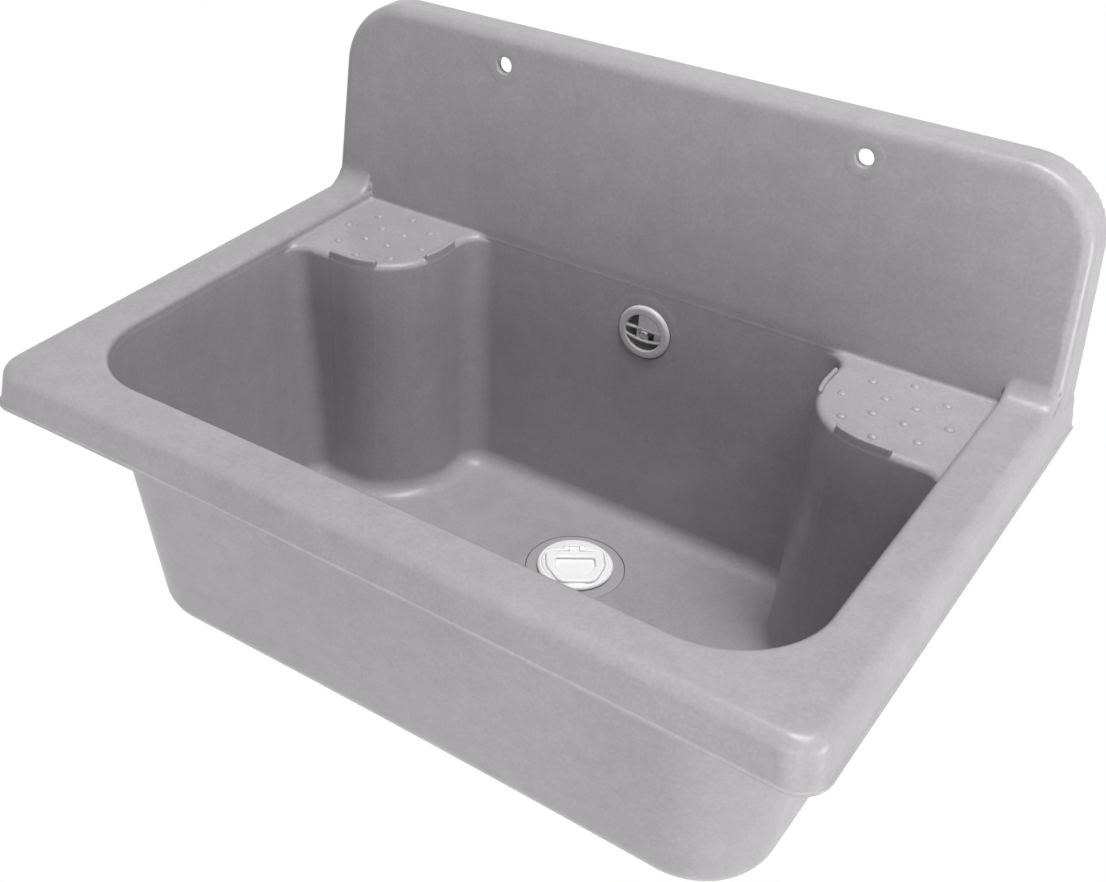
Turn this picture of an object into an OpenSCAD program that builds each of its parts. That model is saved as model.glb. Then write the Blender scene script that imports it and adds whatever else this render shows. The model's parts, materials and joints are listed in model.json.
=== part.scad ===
// Wall-hung mop service sink: a one-piece moulded basin with a high splashback and
// two corner soap shelves, with its plug waste and its overflow set.
// Millimetres, +Z up. The wall is the plane y = 0 and the front of the sink is at -Y.
// The origin is on the wall, in the middle of the splashback's rear top edge.

/* [Rim and skirt] */
// Width across the top of the rim
rim_w = 597; // [580:1:640]
// Depth from the wall to the front of the rim
rim_d = 400; // [385:1:430]
// Width of the flat rim at the two sides
rim_side = 36; // [30:1:42]
// Width of the flat rim at the front
rim_front = 34; // [30:1:42]
// Height of the skirt that hangs from the rim
skirt_h = 30; // [22:1:40]
// How far the skirt flares out at its lower edge
skirt_flare = 5; // [2:0.5:8]
// How far the middle of the front is drawn in
front_bow = 3.5; // [0:0.5:6]
// Plan radius of the two outer front corners
rim_corner = 20; // [12:1:30]
// Radius of the rounded outer edges
edge_r = 8; // [5:0.5:9]
// Radius of the rounded inner edge of the rim
inner_r = 4; // [2:0.5:5]
// Wall thickness of the moulding
wall = 5; // [4:0.5:5.5]

/* [Splashback] */
// Height of the splashback above the rim
splash_h = 151; // [145:1:180]
// Thickness of the splashback at the rim
splash_base = 36; // [35:0.5:38]
// Thickness of the splashback at its top
splash_top = 25; // [22:0.5:30]
// Radius of its two top corners
splash_corner = 50; // [35:1:60]
// How much each side leans in, per millimetre of height
side_lean = 0.075; // [0.03:0.005:0.1]
// Radius of the cove where the rim runs up into the splashback
cove_r = 17; // [10:1:22]
// Distance between the two wall fixing holes
hole_pitch = 280; // [240:5:320]
// Diameter of a wall fixing hole
hole_d = 12; // [8:0.5:14]
// Height of the holes above the rim
hole_up = 128; // [110:1:130]

/* [Basin] */
// Depth of the basin, from the rim to the floor
basin_h = 220; // [200:1:240]
// How far each side wall draws in towards the floor
side_draft = 15; // [8:1:20]
// How far the front wall draws in towards the floor
front_draft = 25; // [15:1:32]
// How far the back wall comes forward towards the floor
back_draft = 6; // [2:1:8]
// Plan radius of the front inner corners at the rim
basin_corner = 64; // [50:1:70]
// Radius where the walls meet the floor
floor_r = 14; // [10:1:14]

/* [Soap shelves] */
// Distance of a shelf below the rim
shelf_drop = 8; // [6:0.5:10]
// Distance from the middle of the sink to the face of a shelf column
column_x = 158; // [150:1:162]
// Distance from the wall to the front face of a shelf column
column_y = 133; // [128:1:138]
// Radius of the column's free corner
column_r = 55; // [48:1:56]
// Height of the two lips on the edge of a shelf
lip_h = 3.5; // [2:0.5:5]
// Thickness of a lip
lip_t = 3; // [2:0.5:4]
// Radius of the ring of eight studs on a shelf
stud_ring = 36.3; // [32:0.1:38]
// Diameter of one stud
stud_d = 7; // [5:0.5:9]

/* [Waste] */
// Distance from the wall to the middle of the waste
waste_y = 118; // [112:1:160]
// Outer diameter of the waste flange
flange_d = 78; // [74:1:80]
// Outer diameter of the plug
plug_d = 60; // [58:1:62]
// Angle to which the plug is turned in its seat
plug_turn = 35; // [0:5:90]
// Major diameter of the outlet thread
outlet_d = 47.8; // [47.5:0.1:48]
// Length of the outlet thread
outlet_l = 20; // [15:1:25]

/* [Overflow] */
// Distance from the rim down to the middle of the overflow
overflow_drop = 44; // [42:1:50]
// Outer diameter of the overflow rosette
rosette_d = 46; // [44:1:48]
// Outer diameter of the overflow hose over its rings
hose_d = 20; // [19:0.5:20.5]

/* [Hidden] */

arc_n = 7;                 // steps in one rounded corner of a loft
edge_n = 4;                // steps over one rounded edge
front_n = 8;               // steps along the bowed front
fine = 72;                 // facets round a turned piece

stone = [0.60, 0.60, 0.62];
plastic_grey = [0.55, 0.55, 0.57];
plastic_white = [0.93, 0.93, 0.94];
rubber_black = [0.12, 0.12, 0.13];
steel = [0.78, 0.79, 0.80];
brass = [0.80, 0.66, 0.36];

// The moulding
rim_z = wall / 2 - splash_h;           // top of the rim in this frame
half_w = rim_w / 2;
basin_x = half_w - rim_side;           // inner edge of the rim at the side
basin_f = rim_d - rim_front;           // inner edge of the rim at the front
shelf_fillet = 15;                     // column to side wall
back_fillet = 18;                      // column to back wall
column_round = 5;                      // rounding of the column's top edge
column_draft = 4;                      // how much the columns spread towards the floor
corner_draft = 14;                     // how much the front corners tighten downwards
floor_t = wall + 1;

// The waste, with heights from the basin floor
seat_drop = 3;                         // recess that takes the flange
boss_drop = 9;                         // underside of the floor round the waste
waste_bore_r = 27;
gasket_t = 2;
flange_under = 2;                      // underside of the flange plate
tube_r = 26.5;                         // tube of the flange, outside
seat_r = 25;                           // bore that the plug seal fills
seat_z = 5;                            // ledge that the plug rests on
ledge_r = 22.2;
cross_z = 14;                          // underside of the cross
cross_t = 5;
spoke_t = 3;
hub_r = 7;
hub_low = -34;
insert_r = 4.2;
screw_r = 3;
screw_head = 2.8;
cup_r = 27.5;
body_r = 42;
cup_low = 49;                          // where the outlet thread begins
inlet_z = -34;                         // axis of the overflow inlet
inlet_l = 42;                          // length of the inlet from the waste axis

// The plug
cap_low = 0.6;
cap_edge = 1.6;
cap_top = 6.8;
seal_in = 20.4;
seal_out = seat_r - 0.4;
recess_z = 3.2;                        // floor of the recess for the handle
handle_t = 3;
hinge_y = 16;
hinge_z = 5;
barrel_r = 2;
barrel_l = 8;
knuckle_r = 2.7;
knuckle_l = 4;
axle_r = 1.5;
axle_fit = 0.06;                       // running clearance of the handle's axle

// The overflow, measured forwards from the rosette's seat
rosette_seat = 36.4;                   // the seat's distance from the wall
overflow_pad = 31;                     // the pad behind, likewise
overflow_bore_r = 17;
pad_z = overflow_pad - rosette_seat;
rosette_in = 15.5;                     // inner radius of the rosette's ring
gasket_low = pad_z - 1.5;
elbow_r = 19;
elbow_back = 5 - rosette_seat;

// The hose and its two unions
spigot_r = 11;
spigot_bore = 8;
spigot_l = 38;                         // end of the elbow's spigot below its middle
nut_r = 14.5;
nut_l = 17;
nut_lap = 8;                           // length of the nut over the spigot
seal_t = 3;
hose_y = -17;                          // the hose's distance from the wall
hose_bend = 36;
hose_top = rim_z - overflow_drop - spigot_l;
hose_low = rim_z - basin_h + inlet_z;
hose_end = inlet_l - waste_y;
hose_down = hose_top - hose_low - hose_bend;
hose_round = hose_bend * PI / 2;
hose_level = hose_y - hose_bend - hose_end;
hose_len = hose_down + hose_round + hose_level;
collar_r = 9;                          // plain end of the hose
collar_l = 10;
hose_rings = 36;
hose_bore = 7;
hose_sides = 14;

// ---- outlines and lofts ------------------------------------------------------------

function unit(v) = v / norm(v);
function turn(a) = a > 180 ? a - 360 : a < -180 ? a + 360 : a;

// The arc that rounds the corner p between its neighbours a and b
function corner_arc(a, p, b, r, n) =
    let (u = unit(a - p), v = unit(b - p),
         half = acos(u * v) / 2,
         c = p + unit(u + v) * r / sin(half),
         s = p + u * r / tan(half) - c,
         e = p + v * r / tan(half) - c,
         from = atan2(s.y, s.x),
         sweep = turn(atan2(e.y, e.x) - from))
    [for (i = [0:n]) c + r * [cos(from + sweep * i / n), sin(from + sweep * i / n)]];

// A closed outline with every corner rounded
function rounded(pts, radii, n = arc_n) =
    let (m = len(pts))
    [for (i = [0:m - 1]) each corner_arc(pts[(i + m - 1) % m], pts[i], pts[(i + 1) % m], radii[i], n)];

// The same outline with points along its closing stretch, the front, drawn in by a parabola.
// It starts at the middle of the front, from where the whole outline is in sight.
function bow_front(ring) =
    let (a = ring[len(ring) - 1], b = ring[0], half = front_n / 2,
         first = [for (i = [half:front_n - 1]) a + (b - a) * i / front_n],
         last = [for (i = [1:half - 1]) a + (b - a) * i / front_n])
    [for (p = concat(first, ring, last))
        p.y < -rim_d / 2 ? [p.x, p.y + front_bow * (1 - pow(p.x / half_w, 2))] : p];

function level(ring, z) = [for (p = ring) [p.x, p.y, z]];

function side_faces(n, k0, k1) =
    [for (i = [0:n - 1])
        let (j = (i + 1) % n, a = k0 * n, b = k1 * n)
        each [[a + i, b + i, b + j], [a + i, b + j, a + j]]];

// A solid through rings of equal length. Each end is a fan from the ring's first point.
module loft(rings) {
    n = len(rings[0]);
    last = len(rings) - 1;
    sides = [for (k = [0:last - 1]) each side_faces(n, k, k + 1)];
    bottom = [for (i = [1:n - 2]) [0, i, i + 1]];
    top = [for (i = [1:n - 2]) [last * n, last * n + i + 1, last * n + i]];
    polyhedron(points = [for (r = rings) each r], faces = concat(sides, bottom, top), convexity = 8);
}

// A solid through rings that close on themselves, such as a bent pipe
module closed_loft(rings) {
    n = len(rings[0]);
    m = len(rings);
    polyhedron(points = [for (r = rings) each r],
               faces = [for (k = [0:m - 1]) each side_faces(n, k, (k + 1) % m)], convexity = 8);
}

module turned(profile) { rotate_extrude($fn = fine) polygon(profile); }
module rod(r, h) { cylinder(r = r, h = h, $fn = fine); }

// ---- the moulding ------------------------------------------------------------------

function depth_at(z) = splash_base - (splash_base - splash_top) * z / splash_h;

// Plan of the rim, drawn in by inset; its back end stays at the wall
function rim_plan(inset, back = 0) =
    let (x = half_w - inset, y = rim_d - inset, r = max(2, rim_corner - inset))
    bow_front(rounded([[x, -y], [x, back], [-x, back], [-x, -y]], [r, 0.4, 0.4, r]));

module rim_outer() {
    flare = skirt_flare / skirt_h;
    skirt = [for (z = [-skirt_h, -edge_r]) level(rim_plan(flare * z), z)];
    over = [for (i = [1:edge_n])
        let (a = 90 * i / edge_n)
        level(rim_plan(edge_r * (1 - cos(a)) - flare * edge_r * cos(a)), edge_r * (sin(a) - 1))];
    loft(concat(skirt, over));
}

module rim_hollow() {
    flare = skirt_flare / skirt_h;
    loft([for (z = [-skirt_h - 1, -wall]) level(rim_plan(wall + flare * z, 2), z)]);
}

// Front view of the splashback as [x, z], drawn in by inset and reaching down to low
function splash_plan(inset, low) =
    let (top = splash_h - inset, r = splash_corner - inset,
         xt = half_w - side_lean * top - inset, xl = half_w - inset)
    rounded([[xl, low], [xl, 0], [xt, top], [-xt, top], [-xl, 0], [-xl, low]],
            [0.4, 2, r, r, 2, 0.4]);

// One ring of it: back from the leaning front face by gap, or flat on the wall at y0
function splash_face(inset, low, gap) =
    [for (p = splash_plan(inset, low)) [p.x, gap - depth_at(p.y), p.y]];
function splash_flat(inset, low, y0) = [for (p = splash_plan(inset, low)) [p.x, y0, p.y]];

module splash_outer() {
    over = [for (i = [0:edge_n])
        let (a = 90 * i / edge_n)
        splash_face(edge_r * (1 - cos(a)), -skirt_h, edge_r * (1 - sin(a)))];
    loft(concat([splash_flat(0, -skirt_h, 0)], over));
}

module splash_hollow() {
    loft([splash_flat(wall, -skirt_h - 1, 1), splash_face(wall, -skirt_h - 1, wall)]);
}

// The cove between the rim's side strip and the leaning splashback, rounded off at both ends
function cove_ring(x, inset) =
    let (lean = atan((splash_base - splash_top) / splash_h), r = cove_r + inset,
         cy = -splash_base - cove_r / tan(45 + lean / 2),
         behind = max(4 - splash_base, cy + r * cos(lean) + 0.6), low = -inset - 0.6,
         up = cove_r - r * sin(lean))
    concat([[x, behind, low], [x, behind, up]],
           [for (i = [0:arc_n])
               let (a = -lean - (90 - lean) * i / arc_n) [x, cy + r * cos(a), cove_r + r * sin(a)]],
           [[x, cy, low]]);

module cove() {
    inner = [for (i = [edge_n:-1:1])
        let (a = 90 * i / edge_n)
        cove_ring(basin_x + inner_r * (1 - sin(a)), inner_r * (1 - cos(a)))];
    outer = [for (i = [0:edge_n])
        let (a = 90 * i / edge_n)
        cove_ring(half_w - edge_r * (1 - sin(a)), edge_r * (1 - cos(a)))];
    loft(concat(inner, [cove_ring(basin_x + inner_r, 0)], outer));
}

// Plan of the basin at a share of its depth, 0 at the rim and 1 at the floor. grow moves
// every wall outwards; round_off moves only the faces of the two columns.
function basin_plan(share, grow, round_off = 0) =
    let (x = basin_x - side_draft * share + grow,
         f = basin_f - front_draft * share + grow,
         b = splash_base + back_draft * share - grow,
         cx = column_x - column_draft * share + grow + round_off,
         cy = column_y + column_draft * share - grow - round_off,
         front = basin_corner - corner_draft * share + grow,
         side = max(1, shelf_fillet - abs(grow) + round_off),
         free = column_r - grow - round_off,
         back = max(1, back_fillet + column_draft * share - abs(grow)))
    bow_front(rounded([[x, -f], [x, -cy], [cx, -cy], [cx, -b], [-cx, -b], [-cx, -cy], [-x, -cy], [-x, -f]],
                      [front, side, free, back, back, free, side, front]));

// Steps over the rounded inner edge of the rim, each as [outwards, up]
inner_edge = [for (i = [0:edge_n])
    let (a = 90 * i / edge_n) [inner_r * (1 - cos(a)), -inner_r * (1 - sin(a))]];

// The hollow of the basin. Above the shelves it only has to stay clear of their edges.
module basin_hollow() {
    low = [for (i = [0:edge_n])
        let (a = 90 * i / edge_n, up = floor_r * (1 - cos(a)))
        level(basin_plan(1 - up / basin_h, -floor_r * (1 - sin(a))), up - basin_h)];
    high = [for (i = [0:edge_n])
        let (a = 90 * i / edge_n, down = shelf_drop + column_round * (1 - sin(a)))
        level(basin_plan(down / basin_h, 0, column_round * (1 - cos(a))), -down)];
    over = [for (e = inner_edge) level(basin_plan(0, e[0], column_round), e[1])];
    loft(concat(low, high, over, [level(basin_plan(0, inner_r, column_round), 1)]));
}

module basin_outer() {
    r = floor_r + wall;
    low = [for (i = [0:edge_n])
        let (a = 90 * i / edge_n)
        level(basin_plan(1, wall - r * (1 - sin(a))), r * (1 - cos(a)) - basin_h - floor_t)];
    loft(concat(low, [level(basin_plan(0, wall), -2)]));
}

// Plan of the space over the right shelf. It runs on into the basin along both walls.
function shelf_plan(share, grow) =
    let (x = basin_x - side_draft * share + grow, b = splash_base + back_draft * share,
         reach = 30, in = column_x - reach, f = column_y + reach)
    rounded([[x, -f], [x, -b], [in, -b], [in, -f]], [1, 3, 1, 1]);

module shelf_space() {
    loft(concat([level(shelf_plan(shelf_drop / basin_h, 0), -shelf_drop)],
                [for (e = inner_edge) level(shelf_plan(0, e[0]), e[1])], [level(shelf_plan(0, inner_r), 1)]));
}

// Plate that closes the top of the right column, with its edges inside the walls round it
module shelf_plate() {
    x = basin_x + wall - 1;
    in = column_x + 1;
    f = column_y - 1;
    b = splash_base - wall + 1;
    loft([for (z = [-shelf_drop - wall, -1])
        level(rounded([[x, -f], [x, -b], [in, -b], [in, -f]], [1, 1, 1, column_r - 1]), z)]);
}

// Plan of one column with its edge drawn in by inset
module column_plan(side, inset) {
    x = column_x + inset;
    y = column_y - inset;
    out = basin_x + 2;
    in = splash_base - 2;
    polygon(rounded([[side * x, -y], [side * out, -y], [side * out, -in], [side * x, -in]],
                    [column_r - inset, 1, 1, 1]));
}

// Both curved lips on each shelf, clear of the walls and of the free corner
module lips() {
    low = -shelf_drop - column_round;
    for (side = [-1, 1])
        intersection() {
            difference() {
                translate([0, 0, low]) linear_extrude(column_round + lip_h) column_plan(side, 0);
                translate([0, 0, low - 1]) linear_extrude(column_round + lip_h + 2)
                    column_plan(side, lip_t);
            }
            union() {
                translate([side * 205, -column_y, low]) cube([40, 24, 40], center = true);
                translate([side * column_x, -80, low]) cube([20, 34, 40], center = true);
            }
        }
}

// Domed studs on each shelf, four in the middle and eight in a ring round them
module studs() {
    rise = 1.4;
    ball = (stud_d * stud_d / 4 + rise * rise) / (2 * rise);
    middle = [(column_x + basin_x) / 2, -(column_y + splash_base) / 2];
    for (side = [-1, 1])
        translate([side * middle.x, middle.y, -shelf_drop]) intersection() {
            for (a = [0:45:315])
                rotate(a) {
                    translate([stud_ring, 0, rise - ball]) sphere(ball, $fn = 24);
                    if (a % 90 == 45) translate([15, 0, rise - ball]) sphere(ball, $fn = 24);
                }
            translate([0, 0, 1]) cube([100, 100, 2.6], center = true);
        }
}

// Wall fixing holes, straight through the leaning skin
module hole_bores() {
    for (side = [-1, 1])
        translate([side * hole_pitch / 2, 1, hole_up]) rotate([90, 0, 0])
            rod(hole_d / 2, splash_base + 2);
}

module overflow_boss() {
    translate([0, -overflow_pad, -overflow_drop]) rotate([90, 0, 0]) rod(rosette_d / 2 + 1, wall - 1);
}

// Flat seat for the rosette, and the bore behind it
module overflow_bore() {
    translate([0, 0, -overflow_drop]) rotate([90, 0, 0]) {
        translate([0, 0, rosette_seat]) rod(rosette_d / 2 + 0.5, 8);
        translate([0, 0, overflow_pad - 1]) rod(overflow_bore_r, 10);
    }
}

module waste_boss() {
    translate([0, -waste_y, -basin_h - boss_drop]) rod(flange_d / 2 + 7, boss_drop - seat_drop);
}

module waste_bore() {
    translate([0, -waste_y, -basin_h]) {
        translate([0, 0, -seat_drop]) rod(flange_d / 2 + 0.8, seat_drop + 2);
        translate([0, 0, -boss_drop - 1]) rod(waste_bore_r, boss_drop);
    }
}

module moulded_shell() {
    difference() {
        union() {
            difference() {
                union() {
                    rim_outer();
                    splash_outer();
                }
                rim_hollow();
                splash_hollow();
            }
            basin_outer();
            shelf_plate();
            mirror([1, 0, 0]) shelf_plate();
        }
        basin_hollow();
        shelf_space();
        mirror([1, 0, 0]) shelf_space();
    }
}

module sink_moulding() {
    color(stone) translate([0, 0, rim_z]) difference() {
        union() {
            moulded_shell();
            cove();
            mirror([1, 0, 0]) cove();
            lips();
            studs();
            overflow_boss();
            waste_boss();
        }
        hole_bores();
        overflow_bore();
        waste_bore();
    }
}

// ---- the waste, drawn round its own axis with the basin floor at z = 0 -------------------

module at_waste() { translate([0, -waste_y, rim_z - basin_h]) children(); }

module ring(r0, r1, z0, z1) { turned([[r0, z0], [r1, z0], [r1, z1], [r0, z1]]); }

// Visible ring, seat for the plug, and the cross that takes the clamping screw
module drain_flange() {
    r = flange_d / 2;
    color(plastic_grey) at_waste() difference() {
        union() {
            turned([[tube_r - 2, -cross_z], [tube_r, -cross_z], [tube_r, -flange_under],
                    [r, -flange_under], [r, -0.9], [r - 0.5, -0.4], [r - 1.5, -0.2],
                    [seat_r + 1.2, -0.2], [seat_r, -1.4], [seat_r, -seat_z], [ledge_r, -seat_z],
                    [ledge_r, -seat_z - 1.5], [tube_r - 2, -seat_z - 3.5]]);
            for (a = [0, 90])
                rotate(a) translate([1 - tube_r, -spoke_t / 2, -cross_z])
                    cube([2 * tube_r - 2, spoke_t, cross_t]);
            translate([0, 0, -cross_z]) rod(hub_r, cross_t);
        }
        translate([0, 0, -cross_z - 1]) rod(screw_r + 0.3, cross_t + 2);
        translate([0, 0, cross_t - cross_z - screw_head])
            cylinder(h = screw_head + 1, r1 = screw_r + 0.3, r2 = screw_r + screw_head + 1.3, $fn = fine);
    }
}

module flange_gasket() {
    color(rubber_black) at_waste() ring(waste_bore_r + 0.5, flange_d / 2 - 1, -seat_drop, -flange_under);
}

module body_gasket() {
    color(rubber_black) at_waste() ring(waste_bore_r + 1, body_r, -boss_drop - gasket_t, -boss_drop);
}

// Cup under the floor, with the outlet thread, the overflow inlet and the hub for the screw
module waste_body() {
    top = -boss_drop - gasket_t;
    thread_r = outlet_d / 2;
    bore = thread_r - 4;
    color(plastic_white) at_waste() difference() {
        union() {
            turned([[cup_r, top], [body_r, top], [body_r, top - 3], [cup_r + 3, top - 4],
                    [cup_r + 2.5, 7 - cup_low], [thread_r + 2, 2 - cup_low], [thread_r + 2, -cup_low],
                    [thread_r, -cup_low], [thread_r, 1.2 - cup_low - outlet_l],
                    [thread_r - 1.2, -cup_low - outlet_l], [bore, -cup_low - outlet_l],
                    [bore, 3 - cup_low], [cup_r, 9 - cup_low]]);
            difference() {
                translate([0, 0, inlet_z]) rotate([-90, 0, 0]) rod(spigot_r, inlet_l);
                translate([0, 0, -60]) rod(cup_r + 0.5, 60);
            }
            for (a = [45, 135])
                rotate(a) translate([-cup_r - 1, -spoke_t / 2, hub_low + 1]) cube([2 * cup_r + 2, spoke_t, 8]);
            translate([0, 0, hub_low]) rod(hub_r, -cross_z - hub_low);
        }
        translate([0, cup_r - 4, inlet_z]) rotate([-90, 0, 0]) rod(spigot_bore, inlet_l);
        translate([0, 0, hub_low - 1]) rod(insert_r, 30);
    }
}

// Threaded brass insert in the hub
module waste_insert() {
    color(brass) at_waste() ring(screw_r, insert_r, hub_low, -cross_z - 1);
}

module flange_screw() {
    top = cross_t - cross_z;
    color(steel) at_waste() difference() {
        turned([[0, hub_low - 2], [screw_r - 0.6, hub_low - 2], [screw_r, hub_low - 1.4],
                [screw_r, top - screw_head], [screw_r + screw_head, top], [0, top]]);
        for (a = [0, 90]) rotate(a) translate([-3, -0.5, top - 1.6]) cube([6, 1, 3]);
    }
}

// ---- the plug, drawn with its handle hinge along X, behind the middle --------------------

module at_plug() { at_waste() rotate(plug_turn) children(); }

// Outer line of the handle loop, moved out by grow
function handle_plan(grow) =
    let (x = 23 + grow, back = 12.5 + grow, front = 24.5 + grow)
    rounded([[-x, -6], [-14, -front], [14, -front], [x, -6], [x, back], [-x, back]],
            [12, 9, 9, 12, 4, 4]);

// The opening inside the loop
function handle_hole() =
    rounded([[-15.5, -6], [-9, -16.5], [9, -16.5], [15.5, -6], [15.5, 5], [-15.5, 5]],
            [5, 6, 6, 5, 2.5, 2.5]);

module along_hinge(r, l) {
    translate([0, hinge_y, hinge_z]) rotate([0, 90, 0]) cylinder(r = r, h = l, center = true, $fn = fine);
}

// Domed cap with its skirt, the recess for the handle and the two knuckles
module plug_cap() {
    r = plug_d / 2;
    rise = cap_top - cap_edge - 0.6;
    dome = [for (a = [0:10:90]) [r * pow(cos(a), 0.55), cap_edge + 0.6 + rise * pow(sin(a), 0.9)]];
    skirt = [[0, -3.5], [seal_in - 2.6, -3.5], [seal_in - 2.6, -6.4], [seal_in + 0.9, -6.4],
             [seal_in + 0.9, -seat_z - 0.2], [seal_in, -seat_z - 0.2], [seal_in, -1.9],
             [seal_out, -1.9], [seal_out, cap_low], [r - 0.8, cap_low], [r, cap_edge - 0.2]];
    color(plastic_white) at_plug() difference() {
        union() {
            turned(concat(skirt, dome));
            along_hinge(knuckle_r, barrel_l + 2 * knuckle_l + 0.6);
        }
        translate([0, 0, recess_z]) linear_extrude(10) polygon(handle_plan(0.8));
        along_hinge(barrel_r + 0.6, barrel_l + 0.6);
        translate([-barrel_l / 2 - 0.3, 11, recess_z]) cube([barrel_l + 0.6, hinge_y - 11, 10]);
        translate([-barrel_l / 2 - 0.3, hinge_y, hinge_z]) cube([barrel_l + 0.6, barrel_r + 0.6, 10]);
        along_hinge(axle_r + axle_fit, barrel_l + 2 * knuckle_l - 1);
    }
}

module plug_seal() {
    color(rubber_black) at_plug()
        turned([[seal_in, -seat_z], [seal_out, -seat_z], [seal_out, -1.9], [seal_in, -1.9]]);
}

// Flat loop that folds up on its moulded axle
module plug_handle() {
    low = recess_z + 0.2;
    color(plastic_white) at_plug() {
        difference() {
            translate([0, 0, low]) linear_extrude(handle_t) polygon(handle_plan(0));
            translate([0, 0, low - 1]) linear_extrude(handle_t + 2) polygon(handle_hole());
        }
        translate([-barrel_l / 2, 12, low]) cube([barrel_l, hinge_y - 12, handle_t]);
        along_hinge(barrel_r, barrel_l);
        along_hinge(axle_r, barrel_l + 2 * knuckle_l - 1.6);
    }
}

// ---- the overflow, drawn facing forwards with its seat at z = 0 --------------------------

module at_overflow() {
    translate([0, -rosette_seat, rim_z - overflow_drop]) rotate([90, 0, 0]) children();
}

// Ring with a half-open face: a closed quarter, two bars and the block for the screw
module overflow_rosette() {
    r = rosette_d / 2;
    bar_r = 41.6;
    color(plastic_grey) at_overflow() difference() {
        union() {
            turned([[14.9, -8], [16.4, -8], [16.4, 0], [r, 0], [r, 1.4], [r - 0.6, 2.8], [r - 2, 3.7],
                    [r - 3.6, 4], [rosette_in + 1.5, 4], [rosette_in + 0.4, 3.6], [rosette_in, 2.6],
                    [14.9, 2.4]]);
            intersection() {
                rod(rosette_in, 3);
                union() {
                    translate([-4.5, 3, 0.6]) cube([20, 20, 2]);
                    translate([-20, 2, 0]) cube([40, 1.5, 3]);
                    translate([-5.5, -7, 0]) cube([11, 10, 2.2]);
                    translate([0, bar_r - 7, 0]) difference() {
                        rod(bar_r + 0.8, 3);
                        translate([0, 0, -1]) rod(bar_r - 0.8, 5);
                        translate([-60, 0, -1]) cube([120, 60, 5]);
                    }
                }
            }
        }
        translate([0, -2, -10]) rod(2.3, 20);
        translate([0, -2, 1]) rod(3.8, 5);
    }
}

module overflow_screw() {
    color(steel) at_overflow() translate([0, -2, 0]) difference() {
        turned([[0, -20], [1.4, -20], [2, -19.4], [2, 1], [3.5, 1], [3.5, 1.8], [2.6, 2.6], [0, 2.8]]);
        translate([-3, -0.4, 1.7]) cube([6, 0.8, 2]);
    }
}

module overflow_gasket() {
    color(rubber_black) at_overflow() ring(overflow_bore_r + 0.5, rosette_d / 2, gasket_low, pad_z);
}

// Shallow chamber behind the wall, with its spigot pointing down and the boss for the screw
module overflow_elbow() {
    hose_z = -rosette_seat - hose_y;
    color(plastic_white) at_overflow() difference() {
        union() {
            translate([0, 0, gasket_low - 2.5]) rod(rosette_d / 2, 2.5);
            translate([0, 0, elbow_back]) rod(elbow_r, gasket_low - elbow_back - 1);
            translate([0, -spigot_l, hose_z]) rotate([-90, 0, 0]) rod(spigot_r, spigot_l - 8);
        }
        difference() {
            translate([0, 0, elbow_back + 2]) rod(elbow_r - 2, 40);
            translate([0, -2, elbow_back]) rod(4.5, 14);
        }
        translate([0, -spigot_l - 1, hose_z]) rotate([-90, 0, 0]) rod(spigot_bore, spigot_l - 10);
        translate([0, -2, elbow_back + 4]) rod(3, 20);
    }
}

// Threaded brass insert in the boss
module overflow_insert() {
    color(brass) at_overflow() translate([0, -2, 0]) ring(2, 3, elbow_back + 4, elbow_back + 14);
}

// ---- the hose and its two unions ---------------------------------------------------------

// Middle of the hose in y and z, and its direction as an angle below the horizontal
function hose_at(s) =
    let (a = (s - hose_down) / hose_bend * 180 / PI, my = hose_y - hose_bend, mz = hose_low + hose_bend)
    s < hose_down ? [hose_y, hose_top - s, 90]
    : s < hose_down + hose_round ? [my + hose_bend * cos(a), mz - hose_bend * sin(a), 90 - a]
    : [my - (s - hose_down - hose_round), hose_low, 0];

// One ring square to the hose at s
function hose_ring(s, r) =
    let (p = hose_at(s))
    [for (i = [0:hose_sides - 1])
        let (a = 360 * i / hose_sides, out = r * cos(a))
        [r * sin(a), p[0] + out * sin(p[2]), p[1] - out * cos(p[2])]];

// Corrugated pipe with a plain collar at each end and a smooth bore
module overflow_hose() {
    start = collar_l;
    pitch = (hose_len - 2 * collar_l) / hose_rings;
    ribs = [for (i = [0:hose_rings - 1], k = [0, 1])
        hose_ring(start + pitch * (i + 0.5 * k + 0.25), k == 0 ? hose_d / 2 : hose_d / 2 - 1.8)];
    outside = concat([hose_ring(0, collar_r), hose_ring(start, collar_r)], ribs,
                     [hose_ring(hose_len - start, collar_r), hose_ring(hose_len, collar_r)]);
    bends = 8;
    stops = concat([hose_len], [for (i = [bends:-1:0]) hose_down + hose_round * i / bends], [0]);
    color(plastic_grey) closed_loft(concat(outside, [for (s = stops) hose_ring(s, hose_bore)]));
}

// Union nut drawn along +Z, with its open end at z = 0 and grip ribs round it
module hose_nut() {
    turned([[spigot_r + 0.1, 0], [nut_r - 1.6, 0], [nut_r - 1, 0.6], [nut_r - 1, nut_l - 3],
            [nut_r - 3.5, nut_l], [collar_r + 0.2, nut_l], [collar_r + 0.2, nut_lap + seal_t],
            [spigot_r + 0.1, nut_lap + seal_t]]);
    for (a = [0:30:330])
        rotate(a) translate([nut_r - 2.5, -1.2, 1]) cube([2.5, 2.4, nut_l - 5]);
}

// Cone seal between the spigot, the hose collar and the nut
module hose_seal() {
    turned([[collar_r + 0.05, nut_lap], [spigot_r, nut_lap], [spigot_r, nut_lap + seal_t - 1.2],
            [spigot_r - 0.8, nut_lap + seal_t], [collar_r + 0.05, nut_lap + seal_t]]);
}

module at_upper_union() { translate([0, hose_y, hose_top + nut_lap]) rotate([180, 0, 0]) children(); }
module at_lower_union() { translate([0, hose_end - nut_lap, hose_low]) rotate([-90, 0, 0]) children(); }

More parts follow.
